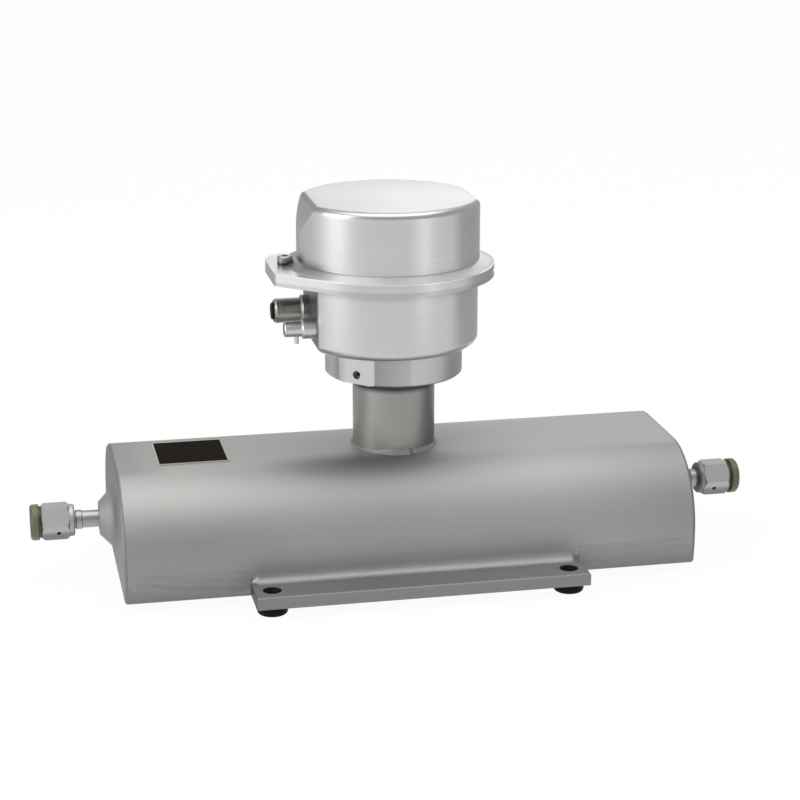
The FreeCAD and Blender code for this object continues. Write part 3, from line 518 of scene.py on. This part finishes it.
# %% Nameplate
BORDER = 0.955
plate_low, plate_high = (np.array(corner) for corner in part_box("nameplate"))
plate_mid, plate_half = (plate_low + plate_high) / 2, (plate_high - plate_low) / 2
plate = Finish("printed_plate", Metallic=0.0, Specular_IOR_Level=0.012)
here = plate.place()
inside = plate.stretch(here, (1 / plate_half[0], 1 / plate_half[1], 0.0),
                       (-plate_mid[0] / plate_half[0], -plate_mid[1] / plate_half[1], 0.0))
sides = [size_of(plate, axis_of(plate, inside, letter)) for letter in "XY"]
larger = plate.add("Math", {"operation": "MAXIMUM"}, {0: sides[0], 1: sides[1]})
border = plate.add("Math", {"operation": "GREATER_THAN"}, {0: larger, 1: BORDER})
speck = plate.noise(here, 900.0, 2.0)
ink = plate.ramp(speck, [(0.35, (0.006, 0.005, 0.003)), (0.75, (0.014, 0.011, 0.006))])
plate.feed("Base Color", plate.mix(border, ink, (0.42, 0.40, 0.33)))
plate.feed("Roughness", 0.55 + 0.2 * (speck - 0.5))
wear("nameplate", plate)
print("plate mm", [round(float(half) * 2000, 1) for half in plate_half[:2]])

# %% [markdown]
# Every other CAD node now gets its finish from one table, so that none is forgotten. The last line looks for
# nodes that still have no shader of their own and should print an empty list.

# %% Handing out the finishes
for finish, names in (
        (nut_metal, ("nut_right", "nut_left")), (line_metal, ("line_tubes", "loops", "temperature_probe")),
        (inner_metal, ("base_frame", "manifolds", "braces", "saddles")),
        (screw_metal, ("manifold_screws", "set_screw")), (plain_screw, ("lid_screw",)),
        (dark_nickel, ("m12_shell", "connector_nuts")), (satin_nickel, ("aux_socket", "board_posts")),
        (rubber, ("feet",)), (seal_rubber, ("neck_ring", "gasket")), (olive, ("cap_right", "cap_left")),
        (black_plastic, ("m12_insert",)), (green_plastic, ("terminal_block",)),
        (board_green, ("lower_board", "upper_board")), (chip_black, ("board_parts",)),
        (copper, ("drive_coil", "pickoff_coils")), (magnet_metal, ("drive_magnet", "pickoff_magnets")),
        (glass_seal, ("feedthrough",)), (bead_metal, ("rail_beads", "neck_bead"))):
    for name in names:
        wear(name, finish)


def dressed(node):
    return any(slot.material and slot.material.use_nodes for slot in node.material_slots)


print("nodes with no finish", [name for name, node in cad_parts.items() if not dressed(node)])

# %% [markdown]
# ## Surfaces from arrays of points
# Every added piece below is one sheet of points laid out in rows and columns and joined by four-sided faces.
# The points come from a formula worked out for the whole sheet at once, and this helper joins them, closes
# the ends that shrink to a point, and makes all faces look outwards. A block of copies is a fourth dimension.

# %% Surface helper
def skin(name, points, finish, body, ring_rows=False):
    """Joins points of shape (copies, rows, columns, 3). Each row is a ring; ring_rows closes the rows too."""
    points = points[None] if points.ndim == 3 else points
    copies, rows, columns = points.shape[:3]
    r, c = np.meshgrid(np.arange(rows if ring_rows else rows - 1), np.arange(columns), indexing="ij")
    r2, c2 = (r + 1) % rows, (c + 1) % columns
    quads = np.stack([r * columns + c, r * columns + c2, r2 * columns + c2, r2 * columns + c], -1)
    quads = quads.reshape(-1, 4)
    quads = (quads[None] + (np.arange(copies) * rows * columns)[:, None, None]).reshape(-1, 4)
    mesh = bpy.data.meshes.new(name)
    mesh.vertices.add(copies * rows * columns)
    mesh.vertices.foreach_set("co", points.astype(np.float32).ravel())
    mesh.loops.add(quads.size)
    mesh.loops.foreach_set("vertex_index", quads.astype(np.int32).ravel())
    mesh.polygons.add(len(quads))
    mesh.polygons.foreach_set("loop_start", np.arange(0, quads.size, 4, dtype=np.int32))
    mesh.update(calc_edges=True)
    work = bmesh.new()
    work.from_mesh(mesh)
    bmesh.ops.remove_doubles(work, verts=work.verts, dist=1e-7)
    bmesh.ops.dissolve_degenerate(work, edges=work.edges, dist=1e-7)
    bmesh.ops.recalc_face_normals(work, faces=work.faces)
    open_edges = sum(len(e.link_faces) != 2 for e in work.edges)
    work.to_mesh(mesh)
    work.free()
    mesh.shade_smooth()
    mesh.materials.append(finish.material)
    piece = bpy.data.objects.new(name, mesh)
    bpy.context.scene.collection.objects.link(piece)
    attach(piece, body)
    print(name, "faces", len(mesh.polygons), "open edges", open_edges)
    return piece


# %% [markdown]
# ## Welds
# The neck, the rails and the bottom pan are welded on. A fillet weld fills a corner with a slightly hollow
# face whose width wavers as the torch moved, with fine ripples across it. One function lays any weld: a
# cross-section of two numbers per point, out from the wall and up, is carried along a path and scaled by a
# size that changes along the way. The waver is a sum of sine waves with whole numbers of periods, so a
# round weld meets itself.

# %% Weld helpers
def waver(t, seed, lowest, highest, waves=7):
    """Sum of sines: wave k has a random whole frequency between lowest and highest, weight 1 / (1 + k)."""
    dice = np.random.default_rng(seed)
    out = np.zeros_like(t)
    for k in range(waves):
        out += np.sin(dice.integers(lowest, highest) * t + dice.uniform(0, 2 * np.pi)) / (1 + k)
    return out / np.abs(out).max()


def bell(distance, width):
    return np.exp(-(distance / width) ** 2)


def carried(section, path, outward, size, lift=None):
    """point = path + size * (section_x * outward + section_z * up), for each place on the path."""
    up_axis = np.array([0.0, 0.0, 1.0])
    high = size if lift is None else lift
    return (path[:, None, :] + (size[:, None] * section[None, :, 0])[..., None] * outward[:, None, :]
            + (high[:, None] * section[None, :, 1])[..., None] * up_axis)


def hollow_fillet(power, count=14):
    """Corner section: x = cos(a) ** power, z = sin(a) ** power, closed through the corner itself."""
    a = np.linspace(0.0, np.pi / 2, count)
    arc = np.stack([np.cos(a) ** power, np.sin(a) ** power], -1)
    return np.concatenate([arc, [[0.0, 1.0], [0.0, 0.0], [1.0, 0.0]]])


# %% [markdown]
# The neck's weld runs once round it. In the picture its front is uneven, so a few bell curves thicken and
# thin it there; each row of the table is one lump's height, its bearing in radians and its width.

# %% Neck weld
NECK_WELD, LUMPS = 0.0015, ((0.9, 4.66, 0.36), (-0.45, 3.45, 0.6), (0.5, 4.85, 0.07), (-0.6, 4.98, 0.05),
                            (0.4, 5.06, 0.05))
neck_low, neck_high = (np.array(corner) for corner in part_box("neck"))
NECK_R = (neck_high[0] - neck_low[0]) / 2
t = np.linspace(0.0, 2 * np.pi, 720, endpoint=False)
radial = np.stack([np.cos(t), np.sin(t), 0 * t], -1)
lumps = sum(height * bell(t - bearing, width) for height, bearing, width in LUMPS)
size = NECK_WELD * (1 + 0.16 * waver(t, 3, 2, 9) + 0.04 * waver(t, 5, 60, 110) + lumps)
foot = radial * (NECK_R + 0.00003) + np.array([0.0, 0.0, neck_low[2] + 0.00002])
neck_weld = skin("neck_weld", carried(hollow_fillet(2.1), foot, radial, size, lift=size * 1.05), bead_metal,
                 "sensor", ring_rows=True)
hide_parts("neck_bead")

# %% [markdown]
# Each rail is held by one long weld in the corner between its top and the body's wall. The weld tapers to
# nothing over its last five millimetres, with a smoothstep, and both rails' welds are one piece.

# %% Rail welds
bead_low, bead_high = (np.array(corner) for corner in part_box("rail_beads"))
rail_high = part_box("rails")[1]
WALL_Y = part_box("shell")[1][1]
WIDTH = bead_high[1] - WALL_Y
x = np.linspace(bead_low[0] - 0.0006, bead_high[0] + 0.0006, 900)
run = (x - x[0]) / (x[-1] - x[0]) * 2 * np.pi
TAPER = 0.0050
end = np.clip(np.minimum(x - x[0], x[-1] - x) / TAPER, 0.0, 1.0)
rounded = end * end * (3 - 2 * end)
rail_pair = []
for side, seed in ((-1.0, 11), (1.0, 12)):
    width = WIDTH * rounded * (1 + 0.045 * waver(run, seed, 4, 20) + 0.014 * waver(run, seed + 5, 120, 240))
    path = np.stack([x, side * WALL_Y + 0 * x, rail_high[2] + 0 * x], -1)
    rail_pair.append(carried(hollow_fillet(3.0), path, np.tile([0.0, side, 0.0], (len(x), 1)), width))
rail_welds = skin("rail_welds", np.stack(rail_pair), bead_metal, "sensor")
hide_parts("rail_beads")

# %% [markdown]
# Between each rail's end and the body's corner the pan's weld looks ground back almost flush, in a blurred
# part of the picture. A thin sheet of points lies over the wall there: each point's height over the wall is a
# sum of bell curves, one for the low ridge that climbs toward the corner, one for the step above it and one
# for the lump at the rail's end.

# %% Ground welds at the corners
pan_low, pan_high = (np.array(corner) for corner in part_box("bottom_pan"))
PAN_Y, SEAM_H, LEAN, SUNK = pan_high[1], pan_high[2] - pan_low[2], 0.0009, 0.0006


def ground_weld(side, end, seed):
    """y = wall(z) + sum of bells in x and z, sunk below the wall at the borders; the back lies in it."""
    s, v = np.linspace(0.0, 1.0, 240)[:, None], np.linspace(0.0, 1.0, 36)[None]
    x, z = rail_high[0] - 0.0004 + (pan_high[0] - rail_high[0] - 0.0012) * s, 0.0012 + 0.0134 * v
    turn = 2 * np.pi * s
    level = 0.0032 + 0.0058 * s ** 1.4 + 0.0009 * waver(turn, seed, 2, 5)
    ridge = 0.00075 * (1 + 0.3 * waver(turn, seed + 1, 2, 7)) * bell(z - level, 0.0019)
    step = 0.00040 * (1 + 0.4 * waver(turn, seed + 2, 2, 8)) * bell(z - level - 0.0042, 0.0015)
    lump = 0.0007 * bell(x - rail_high[0], 0.0016) * bell(z - 0.0030, 0.0020)
    ripple = 0.00001 * waver(turn + 9 * z / 0.012, seed + 3, 30, 60)
    edge = np.clip(np.minimum(v, 1 - v) / 0.12, 0, 1) * np.clip((1 - s) / 0.05, 0, 1)
    over = (0.00004 + ridge + step + lump + ripple) * edge - 0.00005 * (1 - edge)
    y = PAN_Y - LEAN * np.clip(1 - z / SEAM_H, 0, 1) + over
    front = np.stack([x + 0 * y, y, pan_low[2] + z + 0 * y], -1)
    behind = front[:, [-1, 0]] - np.array([0.0, SUNK, 0.0])
    ring = np.concatenate([front, behind], 1)
    tips = [np.tile(behind[k].mean(0), (1, ring.shape[1], 1)) for k in (0, -1)]
    return np.concatenate([tips[0], ring, tips[1]]) * np.array([end, side, 1.0])


corner_signs = [(-1, -1), (-1, 1), (1, -1), (1, 1)]
ground = np.stack([ground_weld(side, end, 21 + 7 * k) for k, (side, end) in enumerate(corner_signs)])
skin("pan_welds", ground, pan_sheet, "sensor")

# %% [markdown]
# ## Plug, feet and coils
# These are turned or wound things, so each is a profile of radius and height carried round an axis. The plug
# barrel's thread is part of the same sheet: the radius drops in a wave whose phase grows by one for every
# pitch along the axis and every turn round it, which is exactly a helix.

# %% Round pieces
def turned(radius, height, centre, axis="z"):
    """x = r cos(t), y = r sin(t), z = h; radius and height have shape (rows, 1) or (rows, turns)."""
    t = np.linspace(0.0, 2 * np.pi, max(radius.shape[1], 96), endpoint=False)[None]
    a, b, h = radius * np.cos(t), radius * np.sin(t), height + 0 * t
    order = (a, b, h) if axis == "z" else (h, a, b)
    return np.stack(order, -1) + np.array(centre)


def rounded_path(points, fine=0.0002):
    """Extra rows along a profile of (radius, height) corners, no further apart than fine."""
    out = [points[0]]
    for start, end in zip(points[:-1], points[1:]):
        steps = max(1, int(np.ceil(np.hypot(*(end - start)) / fine)))
        out += [start + (end - start) * k / steps for k in range(1, steps + 1)]
    return np.array(out)


# %% [markdown]
# A foot is a rubber ring under the rail with a sleeve that stands up into the rail's hole. Its profile goes
# down the inside of the sleeve, round under the foot, out over the rounded belly and back up to the sleeve's
# outside, so the ring closes on itself and needs no caps.

# %% Rubber feet
foot_low, foot_high = (np.array(corner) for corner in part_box("feet"))
FOOT_R, FOOT_H, SLEEVE_H = 0.0072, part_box("rails")[0][2] - foot_low[2], foot_high[2] - foot_low[2]
SLEEVE_R, HOLE_R, BELLY_IN, BELLY_H = 0.0037, 0.00447, 0.0014, 0.0016
s = np.linspace(0.0, np.pi / 2, 8)
belly = np.stack([FOOT_R - BELLY_IN * (1 - np.sin(s)), BELLY_H * (1 - np.cos(s))], -1)
profile = np.concatenate([[[SLEEVE_R, SLEEVE_H], [SLEEVE_R, 0.0008], [SLEEVE_R + 0.0006, 0.0]], belly,
                          [[FOOT_R, FOOT_H - 0.0002], [FOOT_R - 0.0002, FOOT_H], [HOLE_R, FOOT_H],
                           [HOLE_R, SLEEVE_H - 0.0002], [HOLE_R - 0.0002, SLEEVE_H]]])
centres = [(cx, cy, foot_low[2]) for cx in (foot_low[0] + FOOT_R, foot_high[0] - FOOT_R)
           for cy in (foot_low[1] + FOOT_R, foot_high[1] - FOOT_R)]
feet = skin("rubber_feet", np.stack([turned(profile[:, :1], profile[:, 1:], c) for c in centres]), rubber,
            "sensor", ring_rows=True)
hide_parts("feet")

# %% [markdown]
# The plug's barrel stands on a small flange against the head's flat. Its profile is a list of corners, radius
# and place along the plug, filled in with extra rows fine enough to carry the thread.

# %% Plug barrel with its thread
plug_low, plug_high = (np.array(corner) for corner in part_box("m12_shell"))
FLANGE_R = (plug_high[2] - plug_low[2]) / 2
plug_axis = (0.0, (plug_low[1] + plug_high[1]) / 2, (plug_low[2] + plug_high[2]) / 2)
face_x, tail_x, BARREL_R, STEM_R, RIM = plug_low[0], plug_high[0], 0.0060, 0.0050, 0.0008
corners = np.array([(0.0, tail_x), (STEM_R, tail_x), (STEM_R, FLAT_X), (FLANGE_R, FLAT_X),
                    (FLANGE_R, FLAT_X - 0.0022), (FLANGE_R - 0.0005, FLAT_X - 0.0027),
                    (BARREL_R, FLAT_X - 0.0032),
                    (BARREL_R, face_x + 0.0024), (BARREL_R - 0.0006, face_x + 0.0014),
                    (BARREL_R - RIM, face_x + 0.0013), (BARREL_R - RIM, face_x + 0.0080),
                    (0.0, face_x + 0.0080)])
rows = rounded_path(corners, 0.00012)
t = np.linspace(0.0, 2 * np.pi, 96, endpoint=False)[None]
PITCH, DEPTH = 0.0010, 0.00009
phase = rows[:, 1:] / PITCH + t / (2 * np.pi)
fades_in = np.clip((rows[:, 1:] - face_x - 0.0026) / 0.0004, 0, 1)
fades_out = np.clip((face_x + 0.0075 - rows[:, 1:]) / 0.0006, 0, 1)
outside = np.abs(rows[:, :1] - BARREL_R) < 1e-6
radius = rows[:, :1] - outside * fades_in * fades_out * DEPTH * (0.5 + 0.5 * np.cos(2 * np.pi * phase))
plug = skin("plug_barrel", turned(radius, rows[:, 1:], plug_axis, "x"), dark_nickel, "head")
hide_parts("m12_shell")

# %% [markdown]
# Inside the barrel sits a black plastic insert with five pin holes, the usual number for a plug of this
# thread. The holes are in the same sheet of points: wherever the face comes near a pin's place it is pushed
# in, with a soft edge instead of a cut one.

# %% Plug insert with its pin holes
def insert_depth(across, up, pins, hole=0.0006, soft=0.00012, deep=0.003):
    """Depth of the face at (across, up): deep inside any pin hole, nought elsewhere, with a soft edge."""
    near = np.min([np.hypot(across - a, up - b) for a, b in pins], axis=0)
    return deep * np.clip((hole - near) / soft, 0.0, 1.0)


INSERT_R, NOSE_R, NOSE_L = BARREL_R - RIM - 0.00003, 0.0041, 0.0014
t = np.linspace(0.0, 2 * np.pi, 120, endpoint=False)[None]
PIN_CIRCLE_R = 0.00265
pins = [(0.0, 0.0)] + [(PIN_CIRCLE_R * math.cos(a), PIN_CIRCLE_R * math.sin(a))
                       for a in np.radians([45, 135, 225, 315])]
FACE_ROWS = 46
r = np.concatenate([np.linspace(0.0, NOSE_R - 0.0003, FACE_ROWS),
                    [NOSE_R, NOSE_R, INSERT_R, INSERT_R, 0.0]])[:, None]
x = np.concatenate([np.full(FACE_ROWS, 0.0001), [0.0004, NOSE_L, NOSE_L, 0.0079, 0.0079]])[:, None]
sunk = insert_depth(r * np.cos(t), r * np.sin(t), pins) * (x < 0.0002)
face = np.stack([x + sunk, r * np.cos(t), r * np.sin(t)], -1) + np.array([face_x, plug_axis[1], plug_axis[2]])
insert = skin("plug_insert", face, black_plastic, "head")
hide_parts("m12_insert")

# %% [markdown]
# The drive coil and the two pick-off coils are rings of fine wire, so the outer wall is ribbed. The rib is
# the size of a sine whose phase grows with the height and with the turn, so it climbs the wall as a real
# winding does.

# %% Wound coils
def winding(low, high, hole, pitch=0.00034, depth_of_rib=0.0001):
    """Ring whose outer wall is ribbed by the wire: r = R - d (1 - |sin(pi (z / pitch + t / 2 pi))|)."""
    middle = (low + high) / 2
    R, depth = (high[0] - low[0]) / 2, high[2] - low[2]
    rows = rounded_path(np.array([(hole, 0.0), (hole, depth), (R - 0.0003, depth), (R, depth - 0.0003),
                                  (R, 0.0003), (R - 0.0003, 0.0)]), 0.00009)
    t = np.linspace(0.0, 2 * np.pi, 96, endpoint=False)[None]
    rib = np.abs(np.sin(np.pi * (rows[:, 1:] / pitch + t / (2 * np.pi))))
    radius = rows[:, :1] - (np.abs(rows[:, :1] - R) < 1e-6) * depth_of_rib * (1 - rib)
    return turned(radius, rows[:, 1:], (middle[0], middle[1], low[2]))


drive_low, drive_high = (np.array(corner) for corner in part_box("drive_coil"))
COIL_HOLE = 0.0037
drive = skin("drive_winding", winding(drive_low, drive_high, COIL_HOLE), copper, "sensor",
             ring_rows=True)
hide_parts("drive_coil")
pick_low, pick_high = (np.array(corner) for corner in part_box("pickoff_coils"))
wide = drive_high - drive_low
pair = np.stack([winding(corner, corner + wide, COIL_HOLE) for corner in (pick_low, pick_high - wide)])
pickoffs = skin("pickoff_windings", pair, copper, "sensor", ring_rows=True)
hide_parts("pickoff_coils")

# %% [markdown]
# ## What the lid covers
# Lifting the lid shows the upper circuit board. None of this is in the picture, so it is what such a meter
# needs. Chips get rows of legs, the capacitors get rounded sleeves with a groove, and the terminal row gets
# slotted screws. A soft block is a superquadric: the sine and cosine of a ball's two angles are raised to a
# small power, which squares the ball and keeps round edges.

# %% Soft blocks
def soft_blocks(centres, halves, rows=9, columns=16, power=0.22):
    """x = a c(v) c(u), y = b c(v) s(u), z = h s(v), c and s the powered cosine and sine, for each centre."""
    v = np.linspace(-np.pi / 2, np.pi / 2, rows)[:, None]
    u = np.linspace(0.0, 2 * np.pi, columns, endpoint=False)[None] + np.pi / columns
    bend = lambda w: np.sign(w) * np.abs(w) ** power
    flat = np.cos(v) ** power
    flat[[0, -1]] = 0.0
    ball = np.stack([flat * bend(np.cos(u)), flat * bend(np.sin(u)), bend(np.sin(v)) + 0 * u], -1)
    return np.array(centres)[:, None, None, :] + ball[None] * np.array(halves)[:, None, None, :]


DECK, LOWER_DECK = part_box("upper_board")[1][2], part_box("lower_board")[1][2]


def chip(x0, x1, y0, y1, height, base, legs):
    """A moulded body and its two rows of gull-wing legs along x."""
    middle = [(x0 + x1) / 2, (y0 + y1) / 2, base + height / 2 + 0.0001]
    body = [middle], [[(x1 - x0) / 2 - 0.0008, (y1 - y0) / 2 - 0.0012, height / 2 - 0.0001]]
    xs = np.linspace(x0 + 0.0016, x1 - 0.0016, legs)
    feet_at = [(px, y, base + 0.0004) for px in xs for y in (y0 + 0.0008, y1 - 0.0008)]
    return body, (feet_at, [[0.00025, 0.0009, 0.0004]] * len(feet_at))


# lowest and highest x, lowest and highest y, height, top of the board it stands on, legs in a row
CHIPS = ((-0.012, 0.010, -0.010, 0.008, 0.0024, DECK, 17), (0.004, 0.014, 0.016, 0.026, 0.0018, DECK, 7),
         (-0.010, 0.008, -0.012, 0.006, 0.0100, LOWER_DECK, 9),
         (-0.008, 0.0, 0.014, 0.022, 0.0020, LOWER_DECK, 6))
bodies, legs = zip(*[chip(*row) for row in CHIPS])
chips = skin("chip_bodies", np.concatenate([soft_blocks(*b, power=0.12) for b in bodies]), chip_black, "head")
leg_metal = speckled("tinned_legs", grey(0.62), 0.28, metal=0.95, vary=0.05, grain=400.0)
skin("chip_legs", np.concatenate([soft_blocks(*g, rows=5, columns=8) for g in legs]), leg_metal, "head")
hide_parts("board_parts")

# %% [markdown]
# A capacitor is a can turned from one profile, with the rolled groove near its foot. A terminal screw is a
# flat disc of points whose slot is pressed in wherever a point lies close to the middle line.

# %% Capacitors and terminal screws
def sleeve(r, height, centre):
    """A capacitor's can: straight sleeve, a rolled groove near the foot and a rounded shoulder."""
    a = np.linspace(0.0, np.pi / 2, 6)
    shoulder = np.stack([r - 0.0006 * (1 - np.cos(a)), height - 0.0006 * (1 - np.sin(a))], -1)
    rows = np.concatenate([[(0.0, 0.0), (r - 0.0003, 0.0), (r, 0.0003), (r, 0.0015), (r - 0.0004, 0.0019),
                            (r, 0.0023)], shoulder, [(r - 0.0012, height), (r - 0.0014, height - 0.0003),
                                                     (0.0, height - 0.0003)]])
    return turned(rows[:, :1], rows[:, 1:], centre)


cans = [sleeve(0.0040, 0.0140, (0.020, y, DECK)) for y in (-0.006, 0.006)]
cans += [sleeve(0.0032, 0.0090, (0.018, y, LOWER_DECK)) for y in (-0.005, 0.005)]
skin("capacitors", np.stack(cans), chip_black, "head")

BLOCK_FOOT, SCREW_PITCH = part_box("terminal_block")[0][2], 0.0056
DISC_ROWS, DISC_R, SLOT_HALF, SLOT_DEEP = 22, 0.0016, 0.00034, 0.0007
t = np.linspace(0.0, 2 * np.pi, 48, endpoint=False)[None]
r = np.concatenate([np.linspace(0.0, DISC_R, DISC_ROWS), [DISC_R, 0.0]])[:, None]
top = np.concatenate([np.full(DISC_ROWS, 0.0016), [-0.0002, -0.0002]])[:, None]
slot = np.clip((SLOT_HALF - np.abs(r * np.sin(t))) / 0.00008, 0.0, 1.0) * (top > 0)
screw = np.stack([r * np.cos(t), r * np.sin(t), top - SLOT_DEEP * slot], -1)
spots = np.array([(HEAD_AXIS[0] - 0.017, -0.014 + SCREW_PITCH * i, BLOCK_FOOT + 0.0062) for i in range(6)])
skin("terminal_screws", screw[None] + spots[:, None, None, :], satin_nickel, "head")

# %% [markdown]
# ## Floor and light
# The object stands on a wide white floor that fills the picture. Its colour is white by itself: a part of
# what the camera and the reflections see of it is an even glow, and the rest is ordinary paint that keeps the
# soft shadow under the feet. Polished walls look round only when they mirror tones darker and lighter than
# an even surrounding, so cards that the camera doesn't see stand round the object.

# %% Floor
def flat_mesh(name, corners):
    mesh = bpy.data.meshes.new(name)
    mesh.from_pydata(corners, [], [tuple(range(len(corners)))])
    thing = bpy.data.objects.new(name, mesh)
    bpy.context.scene.collection.objects.link(thing)
    return thing


floor = flat_mesh("floor", [(-12, -12, 0), (12, -12, 0), (12, 12, 0), (-12, 12, 0)])
paint = Finish("floor_paint", Base_Color=(0.86, 0.86, 0.86, 1.0), Roughness=0.9)
rays = paint.tree.nodes.new("ShaderNodeLightPath")
seen = paint.add("Math", {"operation": "MAXIMUM"}, {0: Socket(paint, rays.outputs["Is Camera Ray"]),
                                                    1: Socket(paint, rays.outputs["Is Glossy Ray"])})
seen = paint.add("Math", {"operation": "MAXIMUM"}, {0: seen,
                                                    1: Socket(paint, rays.outputs["Is Transmission Ray"])})
glow = paint.add("Emission", {}, {"Color": (1.0, 1.0, 1.0), "Strength": 1.0})
blend = paint.tree.nodes.new("ShaderNodeMixShader")
paint.tree.links.new((seen * 0.95).output, blend.inputs[0])
paint.tree.links.new(paint.shader.outputs[0], blend.inputs[1])
paint.tree.links.new(glow.output, blend.inputs[2])
paint.tree.links.new(blend.outputs[0], paint.tree.nodes["Material Output"].inputs[0])
floor.data.materials.append(paint.material)
print("floor width m", round(floor.dimensions.x, 1))

# %% [markdown]
# Each card glows evenly at its own level, and neither the camera, the soft light nor the shadows take any
# notice of it. The three wide ones are grey. The narrow one in front is brighter than white and puts one
# light streak on the head, as a strip lamp in a studio would.

# %% Cards
def card(name, level, corners):
    """A sheet of one even brightness that only reflections see."""
    panel = flat_mesh(name, [tuple(float(c) for c in corner) for corner in corners])
    panel.data.materials.append(Finish(name, Base_Color=(0, 0, 0, 1), Roughness=1.0, Specular_IOR_Level=0.0,
                                       Emission_Color=(1.0, 1.0, 1.0, 1.0), Emission_Strength=level).material)
    panel.visible_camera = panel.visible_diffuse = panel.visible_shadow = False
    print(name, "level", level)


def upright(angle, distance, width, height, foot=0.0):
    """Corners of a sheet that stands upright and faces the neck axis."""
    a = math.radians(angle)
    out = np.array([math.cos(a), math.sin(a)]) * distance
    side = np.array([-math.sin(a), math.cos(a)]) * width / 2
    return [(*(out - side), foot), (*(out + side), foot), (*(out + side), height), (*(out - side), height)]


card("card_right", 0.50, upright(22.0, distance=0.30, width=0.40, height=0.50))
card("card_facet", 0.45, upright(109.0, distance=0.26, width=0.15, height=0.20))
card("card_front", 1.75, upright(-60.0, distance=0.25, width=0.066, height=0.155, foot=0.088))
card("card_behind", 0.60, [(-0.145, 0.03, 0.001), (-0.10, 0.10, 0.001), (-0.06, 0.70, 0.001),
                           (-0.75, 0.70, 0.001), (-0.75, 0.24, 0.001)])

# %% [markdown]
# Three large soft lamps and an even pale world light the object: the broad one overhead does most of the
# work, the left one models the round walls, and the back one lifts the far edges.

# %% Lamps and world
world = bpy.data.worlds.new("studio")
bpy.context.scene.world = world
world.use_nodes = True
sky = world.node_tree.nodes["Background"]
sky.inputs["Color"].default_value, sky.inputs["Strength"].default_value = (0.97, 0.98, 1.0, 1.0), 0.50


def soft_lamp(name, place, aim, width, depth, watts):
    data = bpy.data.lights.new(name, "AREA")
    data.shape, data.size, data.size_y, data.energy = "RECTANGLE", width, depth, watts
    lamp = bpy.data.objects.new(name, data)
    lamp.location = place
    lamp.rotation_euler = (Vector(place) - Vector(aim)).to_track_quat("Z", "Y").to_euler()
    bpy.context.scene.collection.objects.link(lamp)
    print("lamp", name, "watts", watts)


soft_lamp("top", (0.0, 0.0, 1.5), aim=(0.0, 0.0, 0.1), width=1.8, depth=1.4, watts=16.0)
soft_lamp("left", (-1.12, -0.27, 0.5), aim=(0.0, 0.0, 0.12), width=0.6, depth=1.0, watts=7.1)
soft_lamp("back", (0.9, 2.0, 0.85), aim=(0.0, 0.0, 0.15), width=2.2, depth=1.0, watts=7.5)

view = bpy.context.scene.view_settings
view.view_transform = "Standard"
